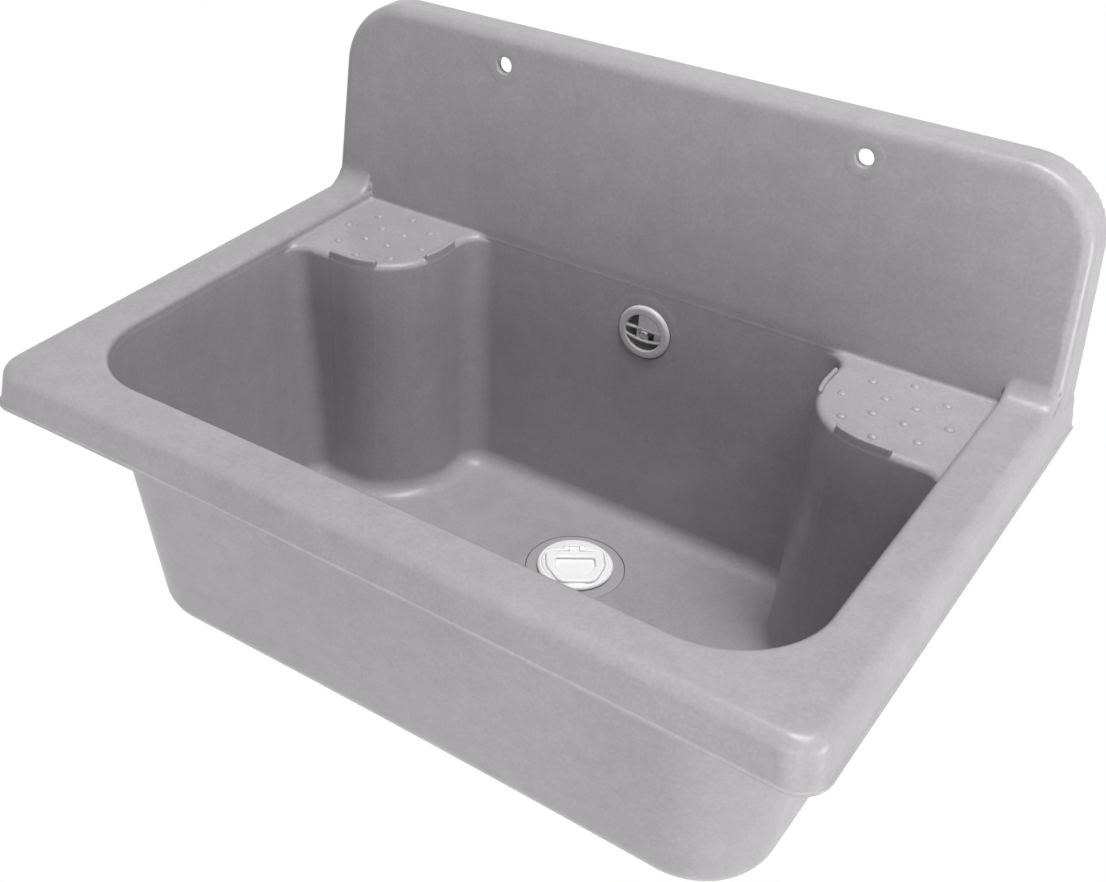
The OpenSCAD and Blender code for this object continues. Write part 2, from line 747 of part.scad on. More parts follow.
module hose_nut_upper() { color(plastic_white) at_upper_union() hose_nut(); }
module hose_nut_lower() { color(plastic_white) at_lower_union() hose_nut(); }
module hose_seal_upper() { color(rubber_black) at_upper_union() hose_seal(); }
module hose_seal_lower() { color(rubber_black) at_lower_union() hose_seal(); }

sink_moulding();
drain_flange();
flange_gasket();
body_gasket();
waste_body();
waste_insert();
flange_screw();
plug_cap();
plug_seal();
plug_handle();
overflow_rosette();
overflow_screw();
overflow_gasket();
overflow_elbow();
overflow_insert();
overflow_hose();
hose_nut_upper();
hose_nut_lower();
hose_seal_upper();
hose_seal_lower();
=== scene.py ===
"""Blender scene of a wall-hung mop service sink with its plug waste and overflow set.

Lengths inside the pieces are millimetres, measured from each piece's own datum. The objects
that leave a piece are in metres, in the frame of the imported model.
"""

import json
import logging
import math
from abc import ABC, abstractmethod
from dataclasses import dataclass
from enum import Enum
from typing import Callable, ClassVar, Sequence

import bpy
import numpy as np
from mathutils import Matrix, Vector

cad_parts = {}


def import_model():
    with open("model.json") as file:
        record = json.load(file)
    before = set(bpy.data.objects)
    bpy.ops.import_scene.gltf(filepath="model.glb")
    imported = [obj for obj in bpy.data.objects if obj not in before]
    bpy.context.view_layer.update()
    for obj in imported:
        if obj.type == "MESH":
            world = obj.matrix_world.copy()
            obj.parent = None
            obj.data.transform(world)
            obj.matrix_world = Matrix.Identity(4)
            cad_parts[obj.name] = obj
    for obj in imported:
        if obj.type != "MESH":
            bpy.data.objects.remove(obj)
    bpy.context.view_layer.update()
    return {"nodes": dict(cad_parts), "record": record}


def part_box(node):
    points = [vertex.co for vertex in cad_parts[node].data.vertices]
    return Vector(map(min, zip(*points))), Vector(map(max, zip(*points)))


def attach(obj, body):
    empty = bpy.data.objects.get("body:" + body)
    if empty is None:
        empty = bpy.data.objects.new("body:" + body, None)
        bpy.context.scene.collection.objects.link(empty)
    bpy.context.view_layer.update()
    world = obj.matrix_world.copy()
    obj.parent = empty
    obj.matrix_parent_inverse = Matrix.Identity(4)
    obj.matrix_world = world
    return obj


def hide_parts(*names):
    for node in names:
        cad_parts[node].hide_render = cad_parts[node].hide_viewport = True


log = logging.getLogger("mop_sink")

MM = 0.001
TAU = 2.0 * math.pi
Array = np.ndarray
Pair = tuple[float, float]
Triple = tuple[float, float, float]
NodeTree = bpy.types.NodeTree
Socket = bpy.types.NodeSocket
EVEN = (1.0, 1.0, 1.0)
NOISE_RANGE = (0.3, 0.7)  # nearly all values of Blender's noise lie between these
PLUG_TURN = 35.0  # degrees by which the plug's hinge is turned from the wall's direction


# ---- rounded forms -------------------------------------------------------------------


def round_max(a: Array, b: Array, radius: float | Array) -> Array:
    """Overlap of two forms, with the edge between them rounded.

    Args:
        a: Signed distance to the first form, negative inside.
        b: Signed distance to the second form.
        radius: Radius of the rounded edge.

    Returns:
        Signed distance to the overlap.
    """
    outside = np.hypot(np.maximum(a + radius, 0), np.maximum(b + radius, 0))
    return np.minimum(-radius, np.maximum(a, b)) + outside


def round_min(a: Array, b: Array, radius: float | Array) -> Array:
    """Union of two forms, with a fillet between them.

    Args:
        a: Signed distance to the first form.
        b: Signed distance to the second form.
        radius: Radius of the fillet.

    Returns:
        Signed distance to the union.
    """
    return -round_max(-a, -b, radius)


def ease(share: Array) -> Array:
    """Smooth step from 0 to 1 as share goes from 0 to 1."""
    t = np.clip(share, 0, 1)
    return t * t * (3 - 2 * t)


def slab(along: Array, low: float, high: float) -> Array:
    """Signed distance to the layer between two parallel planes."""
    return np.maximum(low - along, along - high)


def inset(corners: Sequence[Pair], distance: float) -> list[Pair]:
    """Corners of an anticlockwise outline with every side moved inwards by a distance."""
    moved = []
    for number, (bx, by) in enumerate(corners):
        back = Vector(corners[number - 1]) - Vector((bx, by))
        ahead = Vector(corners[(number + 1) % len(corners)]) - Vector((bx, by))
        first = Vector((back.y, -back.x)).normalized()
        second = Vector((-ahead.y, ahead.x)).normalized()
        step = (first + second) * distance / (1.0 + first.dot(second))
        moved.append((bx + step.x, by + step.y))
    return moved


def outline(x: Array, y: Array, corners: Sequence[Pair]) -> Array:
    """Signed distance to a closed outline of any shape.

    Args:
        x: Abscissae of the points to measure.
        y: Ordinates of the points to measure.
        corners: The outline's corners in order.

    Returns:
        Distance to the nearest side, negative inside.
    """
    nearest, inside = None, False
    for (ax, ay), (bx, by) in zip(corners, [*corners[1:], corners[0]]):
        along_x, along_y = bx - ax, by - ay
        length = along_x ** 2 + along_y ** 2
        share = np.clip(((x - ax) * along_x + (y - ay) * along_y) / length, 0, 1)
        away = (x - ax - share * along_x) ** 2 + (y - ay - share * along_y) ** 2
        nearest = away if nearest is None else np.minimum(nearest, away)
        if along_y != 0:
            passed = (ay <= y) != (by <= y)
            inside = inside ^ (passed & (x < ax + (y - ay) * along_x / along_y))
    return np.where(inside, -1, 1) * np.sqrt(nearest)


def turned(x: Array, y: Array, z: Array, corners: Sequence[Pair], rounding: float) -> Array:
    """Signed distance to a solid turned about the z axis.

    Args:
        x: Places across the axis.
        y: Places across the axis.
        z: Places along the axis.
        corners: Anticlockwise profile as (radius, height).
        rounding: Radius of its outer corners.

    Returns:
        Signed distance.
    """
    return outline(np.hypot(x, y), z, inset(corners, rounding)) - rounding


def bar(across: Array, over: Array, along: Array, half: Triple, rounding: float) -> Array:
    """Signed distance to a block with rounded edges.

    Args:
        across: Offsets from the middle of the block on the first axis.
        over: Offsets on the second axis.
        along: Offsets on the third axis.
        half: Half sizes on the three axes.
        rounding: Radius of the edges.

    Returns:
        Signed distance.
    """
    gaps = [np.abs(value) - size + rounding for value, size in zip((across, over, along), half)]
    outside = np.sqrt(sum(np.maximum(gap, 0) ** 2 for gap in gaps))
    return outside + np.minimum(np.maximum(np.maximum(gaps[0], gaps[1]), gaps[2]), 0) - rounding


def rod(across: Array, over: Array, along: Array, radius: float, half: float,
        rounding: float) -> Array:
    """Signed distance to a rod.

    Args:
        across: Offsets from the axis.
        over: Offsets from the axis, square to the first.
        along: Places along the axis, from the middle of the rod.
        radius: Radius of the rod.
        half: Half of its length.
        rounding: Radius of the edges of its ends.

    Returns:
        Signed distance.
    """
    return round_max(np.hypot(across, over) - radius, np.abs(along) - half, rounding)


@dataclass(frozen=True)
class Thread:
    """Pitch and depth of a pipe thread in millimetres."""

    pitch: float
    depth: float


OUTLET_THREAD = Thread(2.309, 1.2)
UNION_THREAD = Thread(1.8, 0.9)


def threaded(away: Array, place: Array, angle: Array, screw: Thread, span: Pair,
             fades: Pair) -> Array:
    """Signed distance to a round bar with an outside thread.

    Args:
        away: Distances from the axis, less the radius over the thread.
        place: Places along the axis.
        angle: Angles round it.
        screw: Size of the thread.
        span: Where the thread starts and ends.
        fades: Lengths over which it runs in and out.

    Returns:
        Signed distance.
    """
    wave = ease(0.5 + 0.8 * np.cos(TAU * place / screw.pitch - angle))
    shown = ease((place - span[0]) / fades[0]) * ease((span[1] - place) / fades[1])
    return 0.7 * (away + screw.depth * wave * shown)


# ---- from a form to a mesh -----------------------------------------------------------

Form = Callable[[Array, Array, Array], Array]


def grid_line(low: float, high: float, step: float,
              fine: Sequence[Triple] = ()) -> Array:
    """Places of the grid planes across one axis.

    Args:
        low: First plane.
        high: Last plane.
        step: Usual distance between two planes.
        fine: Stretches with a distance of their own, each as (from, to, distance).

    Returns:
        Rising places.
    """
    stops = [low]
    for start, end, small in sorted(fine):
        for goal, pace in ((start, step), (end, small)):
            if goal > stops[-1]:
                count = max(1, math.ceil((goal - stops[-1]) / pace))
                stops.extend(np.linspace(stops[-1], goal, count + 1)[1:])
    count = max(1, math.ceil((high - stops[-1]) / step))
    stops.extend(np.linspace(stops[-1], high, count + 1)[1:])
    return np.array(stops)


def even_lines(low: Sequence[float], high: Sequence[float], cell: float) -> list[Array]:
    """Grid planes at an even distance over a box."""
    return [grid_line(start, end, cell) for start, end in zip(low, high)]


def sample(form: Form, lines: Sequence[Array], planes: int = 12) -> Array:
    """Values of a form at every grid point, worked out a few planes at a time."""
    xs, ys, zs = lines
    values = np.empty((len(xs), len(ys), len(zs)), np.float32)
    y, z = (v.astype(np.float32) for v in (ys[None, :, None], zs[None, None, :]))
    for start in range(0, len(xs), planes):
        x = xs[start:start + planes, None, None].astype(np.float32)
        values[start:start + planes] = form(x, y, z)
    return values


def net(values: Array, lines: Sequence[Array]) -> tuple[Array, Array]:
    """Closed net of quads over the surface where the values change sign.

    Args:
        values: One value for each grid point, negative inside.
        lines: Places of the grid planes on the three axes.

    Returns:
        Points and the four point numbers of each quad, facing outwards.
    """
    inside = values < 0
    count = np.zeros(tuple(n - 1 for n in values.shape), np.uint8)
    for i in (0, 1):
        for j in (0, 1):
            for k in (0, 1):
                count += inside[i:i + count.shape[0], j:j + count.shape[1], k:k + count.shape[2]]
    active = (count > 0) & (count < 8)
    number = np.full(active.shape, -1, np.int32)
    cell = np.stack(np.nonzero(active))
    number[active] = np.arange(cell.shape[1], dtype=np.int32)
    total = np.zeros((cell.shape[1], 3))
    hits = np.zeros(cell.shape[1])
    quads = []
    for axis in range(3):
        second, third = (axis + 1) % 3, (axis + 2) % 3
        for u in (0, 1):
            for v in (0, 1):
                near = cell.copy()
                near[second] += u
                near[third] += v
                far = near.copy()
                far[axis] += 1
                a = values[tuple(near)].astype(float)
                b = values[tuple(far)].astype(float)
                cross = (a < 0) != (b < 0)
                share = a[cross] / (a[cross] - b[cross])
                start, end = lines[axis][near[axis][cross]], lines[axis][far[axis][cross]]
                total[cross, axis] += start + share * (end - start)
                total[cross, second] += lines[second][near[second][cross]]
                total[cross, third] += lines[third][near[third][cross]]
                hits[cross] += 1
        ahead = [slice(None)] * 3
        behind = [slice(None)] * 3
        ahead[axis], behind[axis] = slice(1, None), slice(None, -1)
        edges = np.stack(np.nonzero(inside[tuple(ahead)] != inside[tuple(behind)]))
        leaves = inside[tuple(edges)]
        around = []
        for u, v in ((-1, -1), (0, -1), (0, 0), (-1, 0)):
            place = edges.copy()
            place[second] += u
            place[third] += v
            around.append(number[tuple(place)])
        ring = np.stack(around, axis=1)
        ring[~leaves] = ring[~leaves][:, ::-1]
        quads.append(ring)
    return total / hits[:, None], np.concatenate(quads)


def slope(form: Form, points: Array, reach: float) -> Array:
    """Gradient of a form at some points, from differences over twice the reach."""
    result = np.empty_like(points)
    for axis in range(3):
        ahead, behind = points.copy(), points.copy()
        ahead[:, axis] += reach
        behind[:, axis] -= reach
        result[:, axis] = (form(*ahead.T) - form(*behind.T)) / (2 * reach)
    return result


def settle(form: Form, points: Array, reach: float, longest: float, rounds: int = 3) -> Array:
    """Points moved along the slope of a form until they lie on its surface.

    Args:
        form: Signed distance.
        points: Points near the surface.
        reach: Half the length over which the slope is measured.
        longest: The furthest that a point may move in one round.
        rounds: Number of rounds.

    Returns:
        The moved points.
    """
    for _ in range(rounds):
        up = slope(form, points, reach)
        steep = np.maximum((up * up).sum(1), 0.25)
        move = up * (form(*points.T) / steep)[:, None]
        length = np.maximum(np.linalg.norm(move, axis=1), 1e-9)
        points = points - move * np.minimum(1, longest / length)[:, None]
    return points


def mesh_from_arrays(name: str, points: Array, faces: Array) -> bpy.types.Mesh:
    """Mesh from an array of points and an array of equal-sided faces."""
    mesh = bpy.data.meshes.new(name)
    sides = faces.shape[1]
    mesh.vertices.add(len(points))
    mesh.vertices.foreach_set("co", points.astype(np.float32).ravel())
    mesh.loops.add(faces.size)
    mesh.loops.foreach_set("vertex_index", faces.astype(np.int32).ravel())
    mesh.polygons.add(len(faces))
    mesh.polygons.foreach_set("loop_start", np.arange(0, faces.size, sides, dtype=np.int32))
    mesh.update(calc_edges=True)
    mesh.validate()
    return mesh


# ---- finishes ------------------------------------------------------------------------


@dataclass(frozen=True)
class Mottle:
    """One layer of tone variation over a surface.

    Attributes:
        scale: Number of spots in a metre.
        dark: Factor on the colour in the darkest spots.
        light: Factor in the lightest spots.
        stretch: Factor on each axis.
        detail: Number of finer layers.
    """

    scale: float
    dark: float
    light: float
    stretch: Triple = EVEN
    detail: float = 3.0


@dataclass(frozen=True)
class Finish:
    """A moulded, turned or rubber surface.

    Attributes:
        name: Name of the material.
        base: Middle colour, linear.
        layers: Tone variations that multiply the colour.
        roughness: Lowest and highest roughness.
        grain: Scale of the fine surface relief, per metre.
        relief: Height of that relief in metres.
        metallic: 1 for a metal.
        coat: Weight of a clear, glossy skin.
        coat_roughness: Roughness of that skin.
        specular: Level of the plain reflection.
    """

    name: str
    base: Triple
    layers: tuple[Mottle, ...]
    roughness: Pair
    grain: float
    relief: float
    metallic: float = 0.0
    coat: float = 0.0
    coat_roughness: float = 0.12
    specular: float = 0.5

    def material(self) -> bpy.types.Material:
        """Build the material, or return it if it is there already."""
        known = bpy.data.materials.get(self.name)
        if known:
            return known
        made = bpy.data.materials.new(self.name)
        made.use_nodes = True
        tree = made.node_tree
        shader = tree.nodes["Principled BSDF"]
        shader.inputs["Metallic"].default_value = self.metallic
        shader.inputs["Coat Weight"].default_value = self.coat
        shader.inputs["Coat Roughness"].default_value = self.coat_roughness
        shader.inputs["Specular IOR Level"].default_value = self.specular
        place = tree.nodes.new("ShaderNodeTexCoord").outputs["Object"]
        tree.links.new(self._tone(tree, place), shader.inputs["Base Color"])
        tree.links.new(self._polish(tree, place), shader.inputs["Roughness"])
        tree.links.new(self._relief(tree, place), shader.inputs["Normal"])
        made.diffuse_color = (*self.base, 1.0)
        return made

    def _noise(self, tree: NodeTree, place: Socket, scale: float, detail: float,
               stretch: Triple = EVEN) -> Socket:
        """Noise over the object, as a value between 0 and 1.

        Args:
            tree: Nodes of the material.
            place: Coordinates on the object.
            scale: Number of spots in a metre.
            detail: Number of finer layers.
            stretch: Factor on each axis.

        Returns:
            The value's socket.
        """
        mapping = tree.nodes.new("ShaderNodeMapping")
        mapping.inputs["Scale"].default_value = stretch
        noise = tree.nodes.new("ShaderNodeTexNoise")
        noise.inputs["Scale"].default_value = scale
        noise.inputs["Detail"].default_value = detail
        tree.links.new(place, mapping.inputs["Vector"])
        tree.links.new(mapping.outputs["Vector"], noise.inputs["Vector"])
        return noise.outputs["Fac"]

    def _tone(self, tree: NodeTree, place: Socket) -> Socket:
        """The base colour multiplied by each layer in turn."""
        colour = None
        for layer in self.layers:
            ramp = tree.nodes.new("ShaderNodeValToRGB")
            ramp.color_ramp.elements[0].position, ramp.color_ramp.elements[1].position = NOISE_RANGE
            start = self.base if colour is None else EVEN
            ramp.color_ramp.elements[0].color = (*(c * layer.dark for c in start), 1.0)
            ramp.color_ramp.elements[1].color = (*(c * layer.light for c in start), 1.0)
            cloud = self._noise(tree, place, layer.scale, layer.detail, layer.stretch)
            tree.links.new(cloud, ramp.inputs["Fac"])
            if colour is None:
                colour = ramp.outputs["Color"]
                continue
            mix = tree.nodes.new("ShaderNodeMix")
            mix.data_type = "RGBA"
            mix.blend_type = "MULTIPLY"
            mix.inputs["Factor"].default_value = 1.0
            tree.links.new(colour, mix.inputs["A"])
            tree.links.new(ramp.outputs["Color"], mix.inputs["B"])
            colour = mix.outputs["Result"]
        return colour

    def _polish(self, tree: NodeTree, place: Socket) -> Socket:
        """Roughness that drifts a little over the surface."""
        drift = tree.nodes.new("ShaderNodeMapRange")
        ends = ("From Min", "From Max", "To Min", "To Max")
        for end, value in zip(ends, (*NOISE_RANGE, *self.roughness)):
            drift.inputs[end].default_value = value
        tree.links.new(self._noise(tree, place, 35.0, 3.0), drift.inputs["Value"])
        return drift.outputs["Result"]

    def _relief(self, tree: NodeTree, place: Socket) -> Socket:
        """Fine relief of the mould or of the tool."""
        bump = tree.nodes.new("ShaderNodeBump")
        bump.inputs["Strength"].default_value = 0.35
        bump.inputs["Distance"].default_value = self.relief
        tree.links.new(self._noise(tree, place, self.grain, 2.0), bump.inputs["Height"])
        return bump.outputs["Normal"]


GREY_MOTTLE = (Mottle(30.0, 0.97, 1.03), Mottle(700.0, 0.97, 1.03))


class Finishes(Enum):
    """The finishes of the sink, each named for what it covers."""

    MOULDING = Finish(
        "stone_grey_moulding", (0.345, 0.330, 0.345),
        (Mottle(5.0, 0.93, 1.06, (1.0, 1.0, 0.5)), Mottle(60.0, 0.96, 1.04, detail=4.0),
         Mottle(420.0, 0.94, 1.05, detail=2.0)),
        (0.28, 0.36), 260.0, 0.00025, coat=0.06, specular=0.3)
    FLANGE = Finish(
        "waste_flange_grey", (0.355, 0.342, 0.355), GREY_MOTTLE,
        (0.30, 0.38), 700.0, 0.0001, specular=0.3)
    ROSETTE = Finish(
        "overflow_cover_grey", (0.54, 0.53, 0.54), GREY_MOTTLE,
        (0.26, 0.34), 700.0, 0.0001, specular=0.35)
    WHITE = Finish(
        "fitting_white", (0.76, 0.76, 0.75),
        (Mottle(25.0, 0.97, 1.02), Mottle(500.0, 0.985, 1.01)), (0.34, 0.44), 600.0, 0.0001)
    PLUG = Finish(
        "plug_white", (0.86, 0.86, 0.865),
        (Mottle(30.0, 0.98, 1.01), Mottle(600.0, 0.985, 1.01)), (0.24, 0.32), 600.0, 0.0001)
    HOSE = Finish(
        "hose_grey", (0.36, 0.36, 0.365),
        (Mottle(40.0, 0.95, 1.04), Mottle(400.0, 0.97, 1.03)), (0.42, 0.52), 500.0, 0.0001)
    RUBBER = Finish(
        "seal_rubber", (0.022, 0.022, 0.023),
        (Mottle(60.0, 0.85, 1.2), Mottle(800.0, 0.85, 1.15)), (0.60, 0.75), 900.0, 0.0001)
    STEEL = Finish(
        "screw_steel", (0.58, 0.585, 0.59),
        (Mottle(200.0, 0.94, 1.04),), (0.24, 0.34), 1500.0, 0.00005, metallic=1.0)
    BRASS = Finish(
        "insert_brass", (0.72, 0.50, 0.19),
        (Mottle(200.0, 0.92, 1.05),), (0.26, 0.36), 1500.0, 0.00005, metallic=1.0)


SLOT_FINISH = {
    "moulding": Finishes.MOULDING,
    "grey_plastic": Finishes.FLANGE,
    "white_plastic": Finishes.WHITE,
    "plug_plastic": Finishes.PLUG,
    "hose_plastic": Finishes.HOSE,
    "rubber": Finishes.RUBBER,
    "steel": Finishes.STEEL,
    "brass": Finishes.BRASS,
}


# ---- datums --------------------------------------------------------------------------


@dataclass(frozen=True)
class Datums:
    """Places in the frame, in metres, from which the pieces are measured."""

    rim: Vector
    waste: Vector
    overflow: Vector

    @classmethod
    def from_frame(cls, splash_height: float, basin_depth: float) -> "Datums":
        """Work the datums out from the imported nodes.

        Args:
            splash_height: Height of the splashback above the rim, in millimetres.
            basin_depth: Depth of the basin below the rim, in millimetres.

        Returns:
            The datums.
        """
        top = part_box("sink_moulding")[1][2]
        rim_z = top - splash_height * MM
        low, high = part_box("drain_flange")
        waste = Vector(((low[0] + high[0]) / 2, (low[1] + high[1]) / 2, rim_z - basin_depth * MM))
        low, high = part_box("overflow_rosette")
        overflow = Vector(((low[0] + high[0]) / 2, high[1] - OverflowRosette.tube_length * MM,
                           (low[2] + high[2]) / 2))
        return cls(Vector((0.0, 0.0, rim_z)), waste, overflow)


# ---- pieces --------------------------------------------------------------------------


@dataclass
class FormedPiece(ABC):
    """A piece whose surface is the zero level of a form of rounded solids.

    Attributes:
        place: Matrix from the piece's millimetres to the frame's metres.
    """

    place: Matrix

    name = "piece"
    nodes: ClassVar[tuple[str, ...]] = ()
    body = "sink"
    slot = "moulding"
    finish: ClassVar["Finishes | None"] = None
    reach = 0.15

    @abstractmethod
    def form(self, x: Array, y: Array, z: Array) -> Array:
        """Signed distance to the piece in millimetres, negative inside."""

    @abstractmethod
    def lines(self) -> list[Array]:
        """Grid planes on the three axes."""

    def extras(self) -> list[tuple[Array, Array]]:
        """Further closed shells that belong to the piece, as points and quads."""
        return []

    def values(self, lines: list[Array]) -> Array:
        """The form at every grid point."""
        return sample(self.form, lines)

    def build(self) -> bpy.types.Object:
        """Mesh the piece, dress it and put it in the frame.

        Returns:
            The finished object.
        """
        lines = self.lines()
        points, quads = net(self.values(lines), lines)
        cell = min(float(np.diff(line).min()) for line in lines)
        points = settle(self.form, points, self.reach, cell)
        mesh = mesh_from_arrays(self.name, points, quads)
        normals = slope(self.form, points, self.reach)
        mesh.vertices.foreach_set("co", points.astype(np.float32).ravel())
        mesh.polygons.foreach_set("use_smooth", np.ones(len(mesh.polygons), bool))
        length = np.maximum(np.linalg.norm(normals, axis=1, keepdims=True), 1e-9)
        mesh.normals_split_custom_set_from_vertices((normals / length).tolist())
        shown = bpy.data.objects.new(self.name, mesh)
        bpy.context.scene.collection.objects.link(shown)
        self._join_extras(shown)
        shown.data.transform(self.place)
        shown.data.materials.clear()
        shown.data.materials.append((self.finish or SLOT_FINISH[self.slot]).value.material())
        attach(shown, self.body)
        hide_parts(*self.nodes)
        log.info("%s: %d vertices, %d faces", self.name,
                 len(shown.data.vertices), len(shown.data.polygons))
        return shown

    def _join_extras(self, shown: bpy.types.Object) -> None:
        """Join the further shells with the main mesh."""
        parts = []
        for points, quads in self.extras():
            mesh = mesh_from_arrays(self.name + "_part", points, quads)
            mesh.polygons.foreach_set("use_smooth", np.ones(len(mesh.polygons), bool))
            part = bpy.data.objects.new(self.name + "_part", mesh)
            bpy.context.scene.collection.objects.link(part)
            parts.append(part)
        if parts:
            together = [shown, *parts]
            with bpy.context.temp_override(active_object=shown, selected_editable_objects=together):
                bpy.ops.object.join()


def turned_shell(profile: Sequence[Pair], sides: int) -> tuple[Array, Array]:
    """Closed shell from a closed profile turned about the z axis.

    Args:
        profile: Points as (radius, height), anticlockwise with the radius to the right.
        sides: Number of steps round the axis.

    Returns:
        Points and quads.
    """
    angle = np.linspace(0, TAU, sides, endpoint=False)
    across, over = np.cos(angle), np.sin(angle)
    rings = [np.stack([radius * across, radius * over, np.full(sides, z)], axis=1)
             for radius, z in profile]
    near = np.arange(sides)
    far = (near + 1) % sides
    quads = []
    for k in range(len(profile)):
        a, b = k * sides, (k + 1) % len(profile) * sides
        quads.append(np.stack([a + near, a + far, b + far, b + near], axis=1))
    return np.concatenate(rings), np.concatenate(quads)


def rounded_profile(corners: Sequence[Triple], steps: int = 5) -> list[Pair]:
    """Closed profile with its corners rounded.

    Args:
        corners: Each as (radius, height, rounding).
        steps: Number of steps over one rounded corner.

    Returns:
        Points as (radius, height).
    """
    points = []
    for number, (px, py, rounding) in enumerate(corners):
        corner = Vector((px, py))
        back = (Vector(corners[number - 1][:2]) - corner).normalized()
        ahead = (Vector(corners[(number + 1) % len(corners)][:2]) - corner).normalized()
        if rounding <= 0:
            points.append((px, py))
            continue
        half = back.angle(ahead) / 2
        along = rounding / math.tan(half)
        start, end = corner + back * along, corner + ahead * along
        centre = corner + (back + ahead).normalized() * rounding / math.sin(half)
        first = start - centre
        sweep = math.pi - 2 * half
        side = 1.0 if first.x * (end - centre).y - first.y * (end - centre).x > 0 else -1.0
        for step in range(steps + 1):
            turn = side * sweep * step / steps
            points.append((centre.x + first.x * math.cos(turn) - first.y * math.sin(turn),
                           centre.y + first.x * math.sin(turn) + first.y * math.cos(turn)))
    return points


@dataclass
class SinkMoulding(FormedPiece):
    """The one-piece moulding: basin, rim with skirt, splashback and two soap shelves.

    Its datum is on the wall, at the level of the rim, with -Y towards the room.

    Attributes:
        flare: How far the skirt's lower edge stands out from its upper one.
        bow: How far the front of the rim bulges in the middle.
        edge: Rounding along the outer edges, inner_edge along the mouth, hem along lower ones.
        side_lean: Lean of the splashback's ends, in millimetres for each millimetre of height.
        side_draft: How far the basin's side wall comes in from rim to floor, front_draft and
            back_draft likewise.
        back_corner: Rounding between side and back walls, above and below the shelves.
        column_spread: How much a shelf's column grows from shelf to floor.
        front_lip: Middle, half length and reach of the lip at the front of a shelf.
        side_lip: Middle, half length and reach of the lip at its side.
        stud_ring: Radius of the ring of eight studs, stud_inner of the four inside it.
        proud: How far a ring that lines an opening covers the wall round it.
    """

    half_width: float = 298.5
    depth: float = 400.0
    rim_side: float = 36.0
    rim_front: float = 34.0
    skirt: float = 30.0
    flare: float = 5.0
    bow: float = 3.5
    corner: float = 20.0
    edge: float = 8.0
    inner_edge: float = 4.0
    hem: float = 0.8
    wall: float = 5.0
    splash_height: float = 151.0
    splash_base: float = 36.0
    splash_top: float = 25.0
    splash_corner: float = 50.0
    side_lean: float = 0.075
    cove: float = 17.0
    hole_pitch: float = 280.0
    hole_up: float = 128.0
    basin_depth: float = 220.0
    side_draft: float = 15.0
    front_draft: float = 25.0
    back_draft: float = 6.0
    back_corner: Pair = (0.3, 3.0)
    basin_corner: float = 64.0
    corner_draft: float = 14.0
    floor_round: float = 14.0
    shelf_drop: float = 8.0
    column_x: float = 158.0
    column_y: float = 133.0
    column_corner: float = 55.0
    column_spread: float = 4.0
    side_fillet: float = 15.0
    back_fillet: float = 18.0
    column_edge: float = 5.0
    shelf_edge: float = 2.5
    lip: float = 3.2
    lip_height: float = 3.6
    lip_edge: float = 1.3
    lip_end: float = 1.2
    lip_foot: float = 0.8
    front_lip: Triple = (207.0, 20.0, 18.0)
    side_lip: Triple = (78.5, 16.5, 17.0)
    stud_ring: float = 36.3
    stud_inner: float = 15.0
    stud: float = 3.5
    stud_rise: float = 1.8
    stud_root: float = 0.8
    waste_y: float = 118.0
    waste_bore: float = 27.0
    waste_recess: float = 39.4
    recess_depth: float = 3.0
    boss: float = 46.0
    boss_depth: float = 9.0
    overflow_drop: float = 44.0
    overflow_bore: float = 17.0
    overflow_pad: float = 24.0
    pad_back: float = 31.0
    rosette_seat: float = 22.6
    seat_depth: float = 0.8
    hole: float = 6.0
    hole_edge: float = 1.3
    bead: float = 1.2
    proud: float = 0.03
    cell: float = 6.0
    edge_cell: float = 3.0
    lip_cell: float = 1.2

    name = "moulded_sink"
    nodes = ("sink_moulding",)
    slot = "moulding"
    reach = 0.25

    def lines(self) -> list[Array]:
        """Grid planes: wide along flat walls, closer across thin walls, closest at the lips."""
        wide, close, closest = self.cell, self.edge_cell, self.lip_cell
        face, front = self.column_x, -self.column_y
        start, end = (self.front_lip[0] + side * self.front_lip[1] for side in (-1, 1))
        half = grid_line(0.0, self.half_width + 9.5, wide, [
            (face - 20, face - 4, close), (face - 4, face + 9, closest),
            (face + 9, start - 3.5, 2 * closest), (start - 3.5, start + 3.5, closest),
            (start + 3.5, end - 3.5, close), (end - 3.5, end + 3.5, closest),
            (end + 3.5, self.half_width - 30, 2 * closest),
            (self.half_width - 30, self.half_width + 6, close)])
        across = np.concatenate([-half[:0:-1], half])
        start, end = (side * self.side_lip[1] - self.side_lip[0] for side in (-1, 1))
        along = grid_line(-self.depth - 10, 4.0, wide, [
            (-self.depth - 6, -self.depth + 30, close),
            (-self.depth + 30, -self.depth + 100, 2 * closest),
            (front - 30, front - 3, close), (front - 3, front + 10, closest),
            (front + 10, start - 3, 2 * closest), (start - 3, start + 3, closest),
            (start + 3, end - 3, close), (end - 3, end + 3, closest),
            (end + 3, -12, close), (-3.4, 1.8, 1.3)])
        shelf = -self.shelf_drop
        up = grid_line(-self.basin_depth - 13, self.splash_height + 5, wide, [
            (-self.basin_depth - 7, -self.basin_depth + 20, 2 * closest),
            (-self.basin_depth + 20, -self.skirt - 1.5, 3.2),
            (-self.skirt - 1.5, -self.skirt + 3.5, self.bead / 2),
            (-self.skirt + 3.5, shelf - 6, 2 * closest), (shelf - 6, shelf + 5, closest),
            (shelf + 5, 20, 2 * closest),
            (self.splash_height - 55, self.splash_height + 3, close)])
        return [across, along, up]

    def values(self, lines: list[Array]) -> Array:
        """The form at every grid point; the left half mirrors the right one."""
        half = lines[0][lines[0] >= 0]
        right = sample(self.form, [half, lines[1], lines[2]])
        return np.concatenate([right[:0:-1], right])

